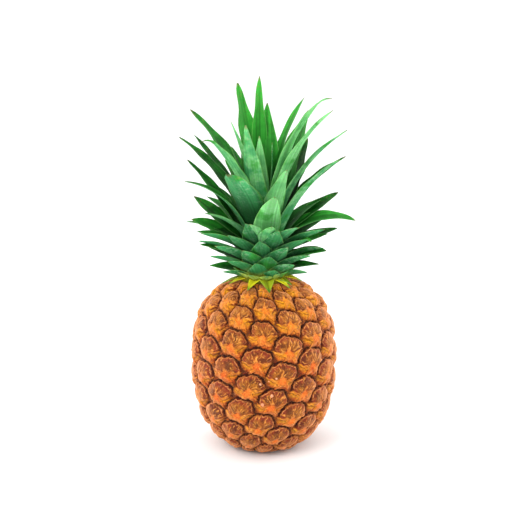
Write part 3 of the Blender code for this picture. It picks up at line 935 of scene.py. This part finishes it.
@dataclass
class Fruit:
    """The fruit: one skin with every eye raised on it, the cut stalk, stray fibres and drops of sap.

    Rises, depths, bells and spans are in millimetres. A bell is its middle and its width, and a span is where
    an ease starts and ends. The stalk's profile gives shares of its radius and heights, from the middle of
    the cut outwards. A drop's place is its turn in degrees, its height and its radius.
    """

    barrel: Barrel = field(default_factory=Barrel)
    spirals: EyeSpirals = field(default_factory=EyeSpirals)
    eye: EyeForm = field(default_factory=EyeForm)
    columns: int = 440
    rows: int = 212
    cell_middle: tuple[float, float] = (1.0, -1.2)
    upper_span: tuple[float, float] = (-3.0, 4.0)
    dome_span: tuple[float, float] = (-0.3, 0.5)
    star_span: tuple[float, float] = (-0.4, 0.7)
    gap_span: tuple[float, float] = (-0.4, 0.4)
    crack_bell: tuple[float, float] = (-0.65, 0.8)
    rim_bell: tuple[float, float] = (0.9, 0.6)
    seam_bell: tuple[float, float] = (-0.35, 0.4)
    groove_start: float = 0.82
    cushion: float = 2.2
    cushion_power: float = 2.2
    dome_rise: float = 1.7
    dome_run: float = 1.1
    rim_rise: float = 0.45
    swelling_rise: float = 1.3
    flank_rise: float = 0.4
    star_rise: float = 0.8
    tip_rise: float = 0.7
    crevice: float = 1.8
    groove_depth: float = 0.9
    seam_depth: float = 0.35
    mean_relief: float = 2.9
    fade_base: float = 12.0 * MM
    fade_top: float = 8.0 * MM
    stalk_radius: float = 12.5 * MM
    stalk_top: float = 5.7 * MM
    stalk_sides: int = 72
    stalk_profile: tuple[tuple[float, float], ...] = (
        (0.35, 0.5),
        (0.7, 0.15),
        (0.9, 0.0),
        (0.96, 0.3),
        (0.985, 1.0),
    )
    hair_count: int = 90
    hair_lengths: tuple[float, float] = (1.8, 4.2)
    hair_thickness: float = 0.16
    hair_taper: float = 0.12
    hair_root: float = 0.3
    hair_seed: int = 5
    drop_places: tuple[tuple[float, float, float], ...] = (
        (6.2, 64.0, 1.5),
        (-1.0, 56.0, 1.6),
        (-2.6, 74.0, 1.1),
        (9.6, 79.0, 1.0),
        (4.0, 76.0, 0.8),
    )

    def fields(self, turn: np.ndarray, arc: np.ndarray) -> dict[str, np.ndarray]:
        """Works out the relief and the fields that colour the skin.

        The domes, stars, flanks and bracts are each the greatest of the eyes around a point, so that they run
        on without a break. The local coordinates belong to the one eye whose six-sided cell holds the point.

        Args:
            turn: The points' turns.
            arc: Their arc lengths.

        Returns:
            Fields by name, in millimetres or shares.
        """
        shape = np.shape(turn)
        dome, star = np.full(shape, FAR_OUTSIDE), np.full(shape, FAR_OUTSIDE)
        arm, bract, upper = np.zeros(shape), np.zeros(shape), np.zeros(shape)
        share = np.full(shape, np.inf)
        local = np.zeros((*shape, 3))
        ties = self.spirals.neighbours(self.barrel.radius)
        for x, y, luck in self.spirals.near(turn, arc, self.barrel.radius):
            x, y = self.eye.shaken(x, y, luck)
            inside = self.eye.dome(x, y, luck)
            upper = np.where(inside > dome, ease(y, *self.upper_span), upper)
            dome = np.maximum(dome, inside)
            star = np.maximum(star, self.eye.star(x, y, luck))
            arm = np.maximum(arm, self.eye.arms(x, y))
            bract = np.maximum(bract, self.eye.bract(x, y))
            from_x, from_y = (x - self.cell_middle[0]) * MM, (y - self.cell_middle[1]) * MM
            cell = np.zeros(shape)
            for side, down in ties:
                cell = np.maximum(cell, 2.0 * np.abs(from_x * side + from_y * down) / (side**2 + down**2))
            nearer = cell < share
            share = np.where(nearer, cell, share)
            local = np.where(nearer[..., None], np.stack([x, y, 0.5 + 0.5 * luck[..., 0]], axis=-1), local)

        share = np.clip(share, 0.0, 1.0)
        outside = 1.0 - ease(dome, *self.dome_span)
        on_star = ease(star, *self.star_span)
        off_star = 1.0 - ease(star, *self.gap_span)
        crack = bell(dome, *self.crack_bell) * (0.3 + 0.7 * upper) * off_star
        groove = ease(share, self.groove_start, 1.0) * outside * (1.0 - 0.6 * upper)
        seam = bell(star, *self.seam_bell) * (1.0 - 0.4 * outside)
        cushion = self.cushion * (1.0 - share**self.cushion_power)
        raised = self.dome_rise * (1.0 - np.exp(-np.maximum(dome, 0.0) / self.dome_run))
        rim = self.rim_rise * bell(dome, *self.rim_bell) * upper
        flesh = (self.swelling_rise * bract + self.flank_rise * arm + self.star_rise * on_star) * outside
        tip = self.tip_rise * on_star * (1.0 - outside)
        relief = cushion + (raised + rim) * (1.0 - 0.3 * on_star) + flesh + tip
        relief = relief - self.crevice * crack - self.groove_depth * groove - self.seam_depth * seam
        return {
            "relief": relief - self.mean_relief,
            "dome": dome,
            "star": star,
            "arm": arm,
            "crack": crack,
            "groove": groove,
            "upper": upper,
            "depth": relief - cushion,
            "eye": local,
        }

    def surface(self, turn: np.ndarray, arc: np.ndarray) -> tuple[np.ndarray, dict[str, np.ndarray]]:
        """Places points on the skin: the turned section, moved square to itself by the relief.

        Args:
            turn: The points' turns.
            arc: Their arc lengths.

        Returns:
            The points, one row each, and the fields.
        """
        arcs, heights, radii = self.barrel.section()
        climb = np.interp(arc, arcs, np.gradient(heights, arcs))
        widen = np.interp(arc, arcs, np.gradient(radii, arcs))
        size = np.hypot(climb, widen)
        fade = ease(arc, arcs[0], arcs[0] + self.fade_base) * ease(arc, arcs[-1], arcs[-1] - self.fade_top)
        fields = self.fields(turn, arc)
        stand = fields["relief"] * MM * fade
        radius = np.interp(arc, arcs, radii) + stand * climb / size
        height = np.interp(arc, arcs, heights) - stand * widen / size
        return turned(radius, turn, height), fields

    def skin(self) -> Skin:
        """Builds the skin: rows by arc length, columns by turn, a closed top and the stalk's recess below."""
        arcs, _, _ = self.barrel.section()
        levels = np.linspace(arcs[0], arcs[-1], self.rows)
        arc, turn = np.meshgrid(levels, full_turn(self.columns), indexing="ij")
        points, fields = self.surface(turn, arc)
        recess, depth = self.barrel.recess, self.barrel.recess_depth
        under = [turned(recess, turn[0], depth), turned(recess, turn[0], 0.0)]
        points = np.concatenate([*under, points, on_axis(depth, self.barrel.top())])
        # The recess's two rings repeat the fields of the skin's first row, and the centre points hold zeros
        first = np.arange(self.columns)
        source = np.concatenate([first, first, np.arange(turn.size)])
        scalars = {key: np.append(fields[key].ravel()[source], [0.0, 0.0]) for key in RIND_FIELDS}
        eye = np.concatenate([fields["eye"].reshape(-1, 3)[source], np.zeros((2, 3))])
        return Skin.tube(points, self.columns, scalars=scalars, vectors={"eye": eye})

    def stalk(self) -> Skin:
        """Builds the cut stalk: a turned plug whose cut face is a little rough but never below the floor."""
        turn = full_turn(self.stalk_sides)
        wave = 1.0 + 0.012 * np.sin(7.0 * turn) + 0.008 * np.sin(17.0 * turn + 1.0)
        profile = [*self.stalk_profile, (self.stalk_profile[-1][0], self.stalk_top / MM)]
        rings = [turned(share * self.stalk_radius * wave, turn, height * MM) for share, height in profile]
        ends = on_axis(self.stalk_profile[0][1] * MM, self.stalk_top)
        return Skin.tube(np.concatenate([*rings, ends]), self.stalk_sides)

    def hairs(self) -> Skin:
        """Builds stray fibres of dried bracts: short tapered threads that leave the skin and bend aside."""
        draw = np.random.default_rng(self.hair_seed)
        arcs, _, _ = self.barrel.section()
        turn = draw.uniform(-math.pi, math.pi, self.hair_count)
        arc = draw.uniform(arcs[0] + 20.0 * MM, arcs[-1] - 14.0 * MM, self.hair_count)
        root, _ = self.surface(turn, arc)
        out = turned(1.0, turn, 0.0)
        side = np.stack([np.cos(turn), np.sin(turn), np.zeros_like(turn)], axis=-1)
        up = np.array([0.0, 0.0, 1.0])
        length = draw.uniform(*self.hair_lengths, self.hair_count)[:, None] * MM
        sweep = draw.uniform(-1.0, 1.0, self.hair_count)[:, None]
        rise = draw.uniform(-0.9, 0.9, self.hair_count)[:, None]
        sides, stations = 4, 5
        rings = []
        for share in np.linspace(0.0, 1.0, stations):
            # The thread bends towards its sweep as the square of the way along it
            reach = 0.55 * share * length - self.hair_root * MM
            centre = root + out * reach + (side * sweep + up * rise) * length * share**2
            thick = (self.hair_thickness - self.hair_taper * share) * MM
            ring = [centre + thick * (side * math.cos(a) + up * math.sin(a)) for a in full_turn(sides)]
            rings.append(np.stack(ring, axis=1))
        points = np.stack(rings, axis=1).reshape(-1, 3)
        block = stations * sides
        starts = (np.arange(self.hair_count) * block)[:, None, None]
        ends = [[3, 2, 1, 0], [block - 4, block - 3, block - 2, block - 1]]
        quads = np.concatenate([ring_quads(stations, sides), ends])
        return Skin(points, (quads[None] + starts).reshape(-1, 4), np.zeros((0, 3), int))

    def drops(self) -> Skin:
        """Builds the drops of dried sap on the front: small spheres sunk into the skin."""
        arcs, heights, _ = self.barrel.section()
        rings, sides = 9, 16
        tilt = np.linspace(-math.pi / 2, math.pi / 2, rings + 2)[1:-1]
        shell = turned(np.cos(tilt)[:, None], full_turn(sides)[None, :], np.sin(tilt)[:, None])
        ball = np.concatenate([shell, on_axis(-1.0, 1.0)])
        skins = []
        for turn, height, radius in self.drop_places:
            arc = np.interp(height * MM, heights, arcs)
            centre, _ = self.surface(np.array([math.radians(turn)]), np.array([arc]))
            skins.append(Skin.tube(centre + ball * radius * MM, sides))
        return Skin.joined(skins)

    def build(self, effects: SharedEffects) -> None:
        """Builds the fruit's pieces and fits them to the frame.

        Args:
            effects: The shared node groups.
        """
        rind = self.skin().piece("rind", RindFinish().build(effects))
        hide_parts("fruit")
        stalk = self.stalk().piece("cut_stalk", StalkFinish().build(effects))
        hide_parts("stalk")
        fibre = PlainFinish("fibre", paint(206, 150, 110), paint(176, 120, 84), 0.7).build(effects)
        hairs = self.hairs().piece("bract_hairs", fibre)
        sap = PlainFinish("sap", paint(244, 176, 128), paint(238, 150, 100), 0.18, 0.25).build(effects)
        drops = self.drops().piece("sap_drops", sap)
        for piece in (rind, stalk, hairs, drops):
            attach(piece, "root")
            LOG.info("%s: %d faces", piece.name, len(piece.data.polygons))


class BladeTip(Enum):
    """How a leaf ends: its tip's curl in degrees, its outline's power, and how torn its end is in mm."""

    TRIANGULAR = (0.0, 1.25, 0.0)
    POINTED = (0.0, 1.8, 0.0)
    BROAD = (0.0, 3.0, 0.0)
    HOOKED = (45.0, 1.8, 0.0)
    BROAD_HOOKED = (55.0, 3.2, 0.0)
    BLUNT = (10.0, 6.0, 2.4)

    @property
    def curl(self) -> float:
        """Returns the curl in radians."""
        return math.radians(self.value[0])

    @property
    def fullness(self) -> float:
        """Returns the power of the outline."""
        return self.value[1]

    @property
    def tear(self) -> float:
        """Returns how far the end's margin is torn in and out, in millimetres."""
        return self.value[2]


@dataclass(frozen=True)
class Leaf:
    """One leaf, in degrees and millimetres.

    Attributes:
        turn: The side it grows to, from the front towards +X.
        reach: How far its tip is from the axis.
        rise: How far its tip is over the crown's foot.
        width: Its greatest width.
        bend: How much steeper than the straight way to the tip it starts.
        root: How far its root is over the crown's foot.
        roll: Turns the channelled face to the front, or the keel where negative.
        fresh_and_lit: From 0, a dark leaf, to 1, a bright one: partly its own freshness, partly painted light
            and shade.
        tip: How it ends.
        clasp: Its width at the root as a share of the greatest.
        ripe: How yellow it is.
        sunk: How deep its lower part lies in the other leaves' shade, from 0 to 1.
    """

    turn: float
    reach: float
    rise: float
    width: float
    bend: float
    root: float
    roll: float = 0.0
    fresh_and_lit: float = 0.5
    tip: BladeTip = BladeTip.POINTED
    clasp: float = 0.7
    ripe: float = 0.0
    sunk: float = 0.5

    @property
    def age(self) -> float:
        """Returns 0 for the youngest leaves at the top of the stem and 1 for the oldest at its foot."""
        return min(max(1.0 - self.root / HEART_ROOT, 0.0), 1.0)


@dataclass(frozen=True)
class Blade:
    """How a leaf's surface is made around its spine.

    Lengths are in millimetres. The channel and the wave are shares of the width, the sway of the rise and the
    handle of the length. The curl's start and the clasp's end are shares of the way along.
    """

    stations: int = 27
    sides: int = 16
    thickness: float = 1.5
    tip_thickness: float = 0.8
    channel: float = 0.16
    channel_power: float = 1.4
    handle: float = 0.36
    curl_start: float = 0.88
    clasp_end: float = 0.25
    wave: float = 0.035
    wavy_length: float = 110.0
    sway: float = 0.03
    root_depth: float = 4.0
    stem_radius: float = 20.0
    stem_height: float = 66.0
    stem_power: float = 2.2

    def stem_at(self, rise: float) -> float:
        """Returns the stem's radius at this rise, in millimetres."""
        share = min(max(rise / self.stem_height, 0.0), 1.0)
        return self.stem_radius * math.sqrt(1.0 - share**self.stem_power)

    def spine(self, leaf: Leaf) -> tuple[np.ndarray, np.ndarray]:
        """Works out the spine in the leaf's own upright plane.

        It follows a cubic curve from the stem to the tip. Its lean from the vertical is then turned further
        by the curl over the last eighth, and the steps are added up again, so that the leaf keeps its length.

        Args:
            leaf: The leaf.

        Returns:
            Reach and rise at each station, in millimetres, and the lean there.
        """
        root = np.array([max(self.stem_at(leaf.root) - self.root_depth, 0.5), leaf.root])
        tip = np.array([leaf.reach, leaf.rise])
        bend = math.radians(leaf.bend)
        length = np.linalg.norm(tip - root)
        lean = math.atan2(tip[0] - root[0], tip[1] - root[1])
        near = root + self.handle * length * np.array([math.sin(lean - bend), math.cos(lean - bend)])
        far = tip - self.handle * length * np.array([math.sin(lean + bend), math.cos(lean + bend)])
        t = np.linspace(0.0, 1.0, self.stations)[:, None]
        path = (1 - t) ** 3 * root + 3 * (1 - t) ** 2 * t * near + 3 * (1 - t) * t**2 * far + t**3 * tip
        along = 3 * (1 - t) ** 2 * (near - root) + 6 * (1 - t) * t * (far - near) + 3 * t**2 * (tip - far)
        leans = np.arctan2(along[:, 0], along[:, 1]) + leaf.tip.curl * ease(t[:, 0], self.curl_start, 1.0)
        steps = np.linalg.norm(np.diff(path, axis=0), axis=1)
        middle = 0.5 * (leans[1:] + leans[:-1])
        moves = np.stack([np.sin(middle), np.cos(middle)], axis=1) * steps[:, None]
        return np.concatenate([root[None], root + np.cumsum(moves, axis=0)]), leans

    def skin(self, leaf: Leaf, foot: float, luck: np.ndarray) -> Skin:
        """Builds one leaf: lens-shaped rings around the spine, channelled and wavy at the margins.

        A ring's point at angle a lies across the blade by minus half the width times cos a, and off it by
        half the thickness times sin a. The channel lifts it by a power of its share of the half width.

        Args:
            leaf: The leaf.
            foot: The height of the crown's foot, in metres.
            luck: Five random numbers from 0 to 1 for this leaf.

        Returns:
            The leaf's skin with its fields.
        """
        path, leans = self.spine(leaf)
        t = np.linspace(0.0, 1.0, self.stations)
        turn = math.radians(leaf.turn)
        roll = math.copysign(1.0, math.sin(turn)) * math.radians(leaf.roll) * t
        out = np.array([math.sin(turn), -math.cos(turn), 0.0])
        side = np.array([math.cos(turn), math.sin(turn), 0.0])
        up = np.array([0.0, 0.0, 1.0])
        flat = up * np.sin(leans)[:, None] - out * np.cos(leans)[:, None]
        across = side * np.cos(roll)[:, None] + flat * np.sin(roll)[:, None]
        upper = flat * np.cos(roll)[:, None] - side * np.sin(roll)[:, None]
        ahead = up * np.cos(leans)[:, None] + out * np.sin(leans)[:, None]

        clasp = leaf.clasp + (1.0 - leaf.clasp) * np.minimum(t / self.clasp_end, 1.0)
        sharpness = 1.0 if leaf.tip is BladeTip.TRIANGULAR else 0.8
        half = 0.5 * leaf.width * clasp * (1.0 - (0.995 * t) ** leaf.tip.fullness) ** sharpness
        thick = self.thickness + (self.tip_thickness - self.thickness) * t
        thick = np.minimum(thick, 1.2 * half + 0.1)
        angle = full_turn(self.sides)
        share = -np.cos(angle)[None, :]
        swing = self.wave * min(np.linalg.norm(path[-1] - path[0]) / self.wavy_length, 1.0) ** 2 * leaf.width
        wave = swing * np.sin(2.0 * math.pi * (2.0 + 2.0 * luck[0]) * t[:, None] + 6.0 * luck[1])
        wave = wave * np.abs(share) ** 2 * np.where(share > 0, 1.0, -0.7) * ease(t, 0.2, 0.5)[:, None]
        lift = 2.0 * half[:, None] * self.channel * np.abs(share) ** self.channel_power + wave
        off = 0.5 * thick[:, None] * np.sin(angle)[None, :]
        sway = (luck[2] - 0.5) * self.sway * leaf.rise * np.sin(math.pi * t) ** 2
        torn = leaf.tip.tear * ease(t, 0.8, 1.0)[:, None] * np.sin(8.0 * share + 1.2)

        centre = out * path[:, :1] + up * path[:, 1:] + side * sway[:, None]
        points = (
            centre[:, None, :]
            + across[:, None, :] * (half[:, None] * share)[..., None]
            + upper[:, None, :] * (lift + off)[..., None]
            + ahead[:, None, :] * torn[..., None]
        )
        ends = centre[[0, -1]] + upper[[0, -1]] * lift[[0, -1], :1] * 0.5
        points = np.concatenate([points.reshape(-1, 3), ends]) * MM + up * foot

        length = np.concatenate([[0.0], np.cumsum(np.linalg.norm(np.diff(path, axis=0), axis=1))])
        parts = {
            "spot": (t[:, None], share, (np.sin(angle) > 0).astype(float)),
            "blade": (half[:, None] * share * MM, length[:, None] * MM, 7.0 * luck[3]),
            "growth": (leaf.fresh_and_lit, leaf.age, luck[4]),
        }
        vectors = {}
        for key, values in parts.items():
            spread = [np.broadcast_to(value, (self.stations, self.sides)) for value in values]
            grid = np.stack(spread, axis=-1)
            vectors[key] = np.concatenate([grid.reshape(-1, 3), grid[0, :1], grid[-1, :1]])
        scalars = {"ripe": np.full(len(points), leaf.ripe), "sunk": np.full(len(points), leaf.sunk)}
        return Skin.tube(points, self.sides, scalars=scalars, vectors=vectors).turned_over()


@dataclass
class Crown:
    """The crown: a blunt stem and its leaves, from the upright heart to the collar at its foot."""

    foot: float
    blade: Blade = field(default_factory=Blade)
    back_count: int = 18
    back_spread: float = 72.0
    foot_count: int = 42
    foot_start: float = 20.0
    scale_count: int = 12
    sheath_count: int = 15
    golden: float = 137.508
    placing_seed: int = 7
    luck_seed: int = 23

    def heart(self) -> list[Leaf]:
        """Lists the upright leaves of the middle, as the photograph shows them."""
        return [
            Leaf(-143, 6, 172, 23, -8, 56, 0, 0.9),
            Leaf(-136, 32, 164, 32, 0, 54, 0, 0.8),
            Leaf(170, 17, 148, 27, 0, 58, 0, 0.7),
            Leaf(-28, 32, 136, 24, -4, 52, 0, 0.6, sunk=0.2),
            Leaf(-25, 9, 124, 17, -4, 60, 0, 0.8),
            Leaf(95, 7, 117, 14, -4, 60, 0, 0.5),
            Leaf(-150, 8, 119, 14, -4, 60, 0, 0.5),
        ]

    def right(self) -> list[Leaf]:
        """Lists the arching leaves of the right side."""
        return [
            Leaf(113, 37, 153, 19, 18, 54, 10, 0.7),
            Leaf(68, 57, 162, 21, 22, 50, -10, 0.8, BladeTip.HOOKED, sunk=0.15),
            Leaf(131, 51, 139, 29, 4, 48, 0, 0.6, BladeTip.BROAD),
            Leaf(60, 65, 149, 22, 24, 46, 0, 0.8, sunk=0.1),
            Leaf(23, 48, 102, 23, 8, 44, 0, 0.8, sunk=0.1),
            Leaf(127, 47, 116, 30, -8, 44, 0, 0.1),
            Leaf(72, 72, 131, 18, 22, 42, -14, 0.6, sunk=0.2),
            Leaf(105, 72, 102, 19, 18, 40, 14, 0.15),
            Leaf(64, 69, 108, 20, 18, 34, -10, 0.5, sunk=0.2),
            Leaf(114, 70, 69, 21, 4, 34, 16, 0.1, BladeTip.BROAD),
            Leaf(98, 79, 48, 26, 36, 31, 26, 0.55),
            Leaf(109, 67, 39, 20, 8, 22, 28, 0.15),
            Leaf(63, 45, 38, 20, 30, 22, 10, 0.6, BladeTip.HOOKED),
            Leaf(77, 54, 27, 21, 10, 16, 20, 0.2, BladeTip.BROAD),
        ]

    def left(self) -> list[Leaf]:
        """Lists the arching leaves of the left side."""
        return [
            Leaf(-118, 71, 140, 25, 16, 50, 4, 0.3),
            Leaf(-59, 56, 128, 22, 18, 48, 0, 0.7, BladeTip.BROAD_HOOKED, sunk=0.2),
            Leaf(-66, 30, 137, 14, 8, 56, -10, 0.7),
            Leaf(-122, 71, 118, 18, 10, 42, 4, 0.05),
            Leaf(-107, 75, 118, 20, 19, 40, 16, 0.15),
            Leaf(-107, 68, 99, 20, 9, 29, 18, 0.25),
            Leaf(-81, 67, 86, 18, 36, 32, 12, 0.4),
            Leaf(-114, 66, 66, 22, 0, 30, 20, 0.1, BladeTip.BROAD),
            Leaf(-101, 63, 49, 22, 12, 24, 26, 0.3, BladeTip.BROAD),
            Leaf(-62, 55, 62, 22, 22, 32, 0, 0.5),
            Leaf(-80, 57, 43, 20, 18, 22, 16, 0.3),
            Leaf(-88, 54, 30, 19, 10, 17, 20, 0.2),
        ]

    def front(self) -> list[Leaf]:
        """Lists the broad leaves that face the front."""
        return [
            Leaf(-30, 57, 99, 30, 10, 40, 0, 0.3, BladeTip.BLUNT, sunk=1.0),
            Leaf(9, 57, 82, 25, 12, 36, 0, 0.9, sunk=0.1),
            Leaf(-14, 46, 57, 24, 10, 28, 0, 0.6, sunk=0.1),
            Leaf(8, 46, 55, 23, 10, 26, 0, 0.6, sunk=0.1),
            Leaf(34, 52, 54, 25, 12, 28, 0, 0.4, sunk=0.4),
        ]

    def back(self, draw: np.random.Generator) -> list[Leaf]:
        """Places the back leaves: each turns on by the golden angle, folded into the hidden sector.

        Args:
            draw: Where the random numbers come from.

        Returns:
            The leaves from the highest to the lowest.
        """
        leaves = []
        for index in range(self.back_count):
            share = index / (self.back_count - 1)
            sweep = math.remainder(index * self.golden, 360.0) / 180.0
            leaves.append(
                Leaf(
                    turn=180.0 + sweep * self.back_spread,
                    reach=30.0 + 40.0 * share**0.7 + draw.uniform(-3.0, 3.0),
                    rise=116.0 - 68.0 * share + draw.uniform(-4.0, 4.0),
                    width=21.0 + draw.uniform(-2.0, 2.0),
                    bend=8.0 + 12.0 * share,
                    root=52.0 - 28.0 * share,
                    fresh_and_lit=0.45 - 0.2 * share,
                )
            )
        return leaves

    def low(self, draw: np.random.Generator) -> list[Leaf]:
        """Places the leaves round the foot, each turned on from the last by the golden angle.

        Args:
            draw: Where the random numbers come from.

        Returns:
            The leaves from the lowest to the highest.
        """
        leaves = []
        for index in range(self.foot_count):
            share = index / (self.foot_count - 1)
            turn = self.foot_start + index * self.golden
            front = max(math.cos(math.radians(turn)), 0.0)
            # The front half shows its keels to the front, and the rest its channelled faces
            facing = -18.0 - 28.0 * abs(math.sin(math.radians(turn))) if front > 0.0 else 24.0
            leaves.append(
                Leaf(
                    turn=turn,
                    reach=38.0 + 22.0 * share**0.6 - 9.0 * front + draw.uniform(-2.0, 2.0),
                    rise=1.0 + 45.0 * share**1.05 + 15.0 * front + draw.uniform(-2.0, 2.0),
                    width=24.0 + 3.0 * share,
                    bend=8.0,
                    root=1.4 + 27.0 * share**1.15,
                    roll=facing + draw.uniform(-10.0, 10.0),
                    fresh_and_lit=0.2,
                    tip=BladeTip.TRIANGULAR,
                    clasp=0.8,
                    sunk=0.6,
                )
            )
        return leaves

    def collar(self, draw: np.random.Generator) -> list[Leaf]:
        """Places the collar: an uneven ring of yellow scales, and short sheaths over the stem above them.

        Args:
            draw: Where the random numbers come from.

        Returns:
            The scales, and after them the sheaths.
        """
        leaves = []
        for index in range(self.scale_count):
            reach = 34.5 + draw.uniform(-3.0, 3.0)
            leaves.append(
                Leaf(
                    turn=360.0 * (index + draw.uniform(-0.4, 0.4)) / self.scale_count,
                    reach=reach,
                    rise=17.0 - 0.55 * reach,
                    width=12.0 + draw.uniform(-3.5, 3.5),
                    bend=10.0,
                    root=2.2,
                    fresh_and_lit=0.4,
                    tip=BladeTip.TRIANGULAR,
                    clasp=1.0,
                    ripe=1.0,
                    sunk=0.0,
                )
            )
        for index in range(self.sheath_count):
            leaves.append(
                Leaf(
                    turn=360.0 * (index + draw.uniform(-0.3, 0.3)) / self.sheath_count,
                    reach=28.0 + draw.uniform(-1.5, 1.5),
                    rise=10.0 + draw.uniform(-1.5, 1.5),
                    width=15.0 + draw.uniform(-2.0, 2.0),
                    bend=8.0,
                    root=1.2,
                    fresh_and_lit=0.3,
                    tip=BladeTip.TRIANGULAR,
                    clasp=1.0,
                    ripe=0.4,
                    sunk=0.2,
                )
            )
        return leaves

    def stem(self) -> Skin:
        """Builds the stem: rings whose radius is the root of one less a power of the height's share."""
        sides, rings = 40, 14
        turn = full_turn(sides)
        rise = self.blade.stem_height * np.sin(0.5 * math.pi * np.arange(rings) / rings)
        radius = np.array([self.blade.stem_at(value) for value in rise])
        points = turned(radius[:, None] * MM, turn[None, :], self.foot + rise[:, None] * MM)
        points = np.concatenate([points, on_axis(self.foot, self.foot + self.blade.stem_height * MM)])
        count = len(points)
        spot = np.tile([0.2, 0.0, 0.0], (count, 1))
        growth = np.tile([0.1, 0.9, 0.5], (count, 1))
        ripe = np.zeros(count)
        ripe[:sides] = 0.4 + 0.4 * np.cos(13.0 * turn)
        scalars = {"ripe": ripe, "sunk": np.ones(count)}
        vectors = {"spot": spot, "blade": points, "growth": growth}
        return Skin.tube(points, sides, scalars=scalars, vectors=vectors)

    def build(self, effects: SharedEffects) -> None:
        """Builds the crown's pieces and fits them to the frame.

        Args:
            effects: The shared node groups.
        """
        material = LeafFinish().build(effects)
        placing = np.random.default_rng(self.placing_seed)
        tiers = {
            "heart_leaves": self.heart(),
            "right_leaves": self.right(),
            "left_leaves": self.left(),
            "front_leaves": self.front(),
            "back_leaves": self.back(placing),
            "foot_leaves": self.low(placing),
            "collar_scales": self.collar(placing),
        }
        draw = np.random.default_rng(self.luck_seed)
        pieces = [self.stem().piece("crown_stem", material)]
        for name, leaves in tiers.items():
            skins = [self.blade.skin(leaf, self.foot, draw.uniform(0.0, 1.0, 5)) for leaf in leaves]
            pieces.append(Skin.joined(skins).piece(name, material))
        for piece in pieces:
            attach(piece, "root")
            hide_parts("crown")
            LOG.info("%s: %d faces", piece.name, len(piece.data.polygons))


@dataclass(frozen=True)
class Studio:
    """The pale floor, the soft lights and the camera at the photograph's angle.

    A lamp is its name, its place, its side in metres and its power in watts.
    """

    distance: float = 1.3
    elevation: float = math.radians(14.0)
    aim: tuple[float, float, float] = (1.0 * MM, 0.0, 160.3 * MM)
    focal_pixels: float = 1527.0
    frame_pixels: float = 530.0
    sensor: float = 36.0
    sky: float = 1.0
    sun_power: float = 1.05
    sun_spread: float = math.radians(50.0)
    sun_tilt: tuple[float, float, float] = (math.radians(46.0), 0.0, math.radians(-12.0))
    lamps: tuple[tuple[str, tuple[float, float, float], float, float], ...] = (
        ("key", (-1.1, -1.6, 1.5), 0.9, 14.0),
        ("left_rim", (-1.5, 0.7, 0.8), 1.0, 9.0),
        ("right_rim", (1.5, 0.6, 0.8), 1.0, 13.0),
    )
    floor_half: float = 6.0
    floor_colour: Colour = (0.93, 0.93, 0.93, 1.0)
    floor_roughness: float = 0.9
    white: Colour = (1.0, 1.0, 1.0, 1.0)

    def floor(self) -> None:
        """Lays a wide pale floor."""
        half = self.floor_half
        points = np.array([[-half, -half, 0.0], [half, -half, 0.0], [half, half, 0.0], [-half, half, 0.0]])
        material, bench, shader = Finish().start("floor")
        bench.fill(shader, Base_Color=self.floor_colour, Roughness=self.floor_roughness)
        sheet = Skin(points, np.array([[0, 1, 2, 3]]), np.zeros((0, 3), int)).piece("floor", material)

    def lamp(self, name: str, spot: tuple[float, float, float], size: float, power: float) -> None:
        """Hangs a soft square light that faces the fruit.

        Args:
            name: The light's name.
            spot: Where it hangs.
            size: Its side in metres.
            power: Its power in watts.
        """
        data = bpy.data.lights.new(name, "AREA")
        data.size = size
        data.energy = power
        lamp = add_object(name, data)
        lamp.location = spot
        away = np.array(spot) - np.array(self.aim)
        tilt = math.atan2(math.hypot(away[0], away[1]), away[2])
        lamp.rotation_euler = (tilt, 0.0, math.atan2(away[0], -away[1]))

    def sun(self) -> None:
        """Hangs the far soft light, which keeps the whole floor equally bright."""
        data = bpy.data.lights.new("sun", "SUN")
        data.energy = self.sun_power
        data.angle = self.sun_spread
        add_object("sun", data).rotation_euler = self.sun_tilt

    def camera(self) -> None:
        """Sets the camera."""
        data = bpy.data.cameras.new("camera")
        data.sensor_width = self.sensor
        data.lens = self.focal_pixels * self.sensor / self.frame_pixels
        camera = add_object("camera", data)
        camera.location = (
            self.aim[0],
            self.aim[1] - self.distance * math.cos(self.elevation),
            self.aim[2] + self.distance * math.sin(self.elevation),
        )
        camera.rotation_euler = (math.pi / 2 - self.elevation, 0.0, 0.0)
        bpy.context.scene.camera = camera

    def build(self) -> None:
        """Builds the set."""
        self.floor()
        for lamp in self.lamps:
            self.lamp(*lamp)
        self.sun()
        world = bpy.data.worlds.new("studio")
        world.use_nodes = True
        Bench(world.node_tree).fill(world.node_tree.nodes["Background"], Color=self.white, Strength=self.sky)
        bpy.context.scene.world = world
        bpy.context.scene.view_settings.view_transform = "Standard"
        self.camera()


def main() -> None:
    """Dresses the frame."""
    logging.basicConfig(level=logging.INFO, format="%(name)s %(message)s")
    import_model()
    effects = SharedEffects.build()
    fruit = Fruit()
    fruit.build(effects)
    Crown(foot=fruit.barrel.top() + CROWN_GAP).build(effects)
    Studio().build()


if __name__ == "__main__":
    main()
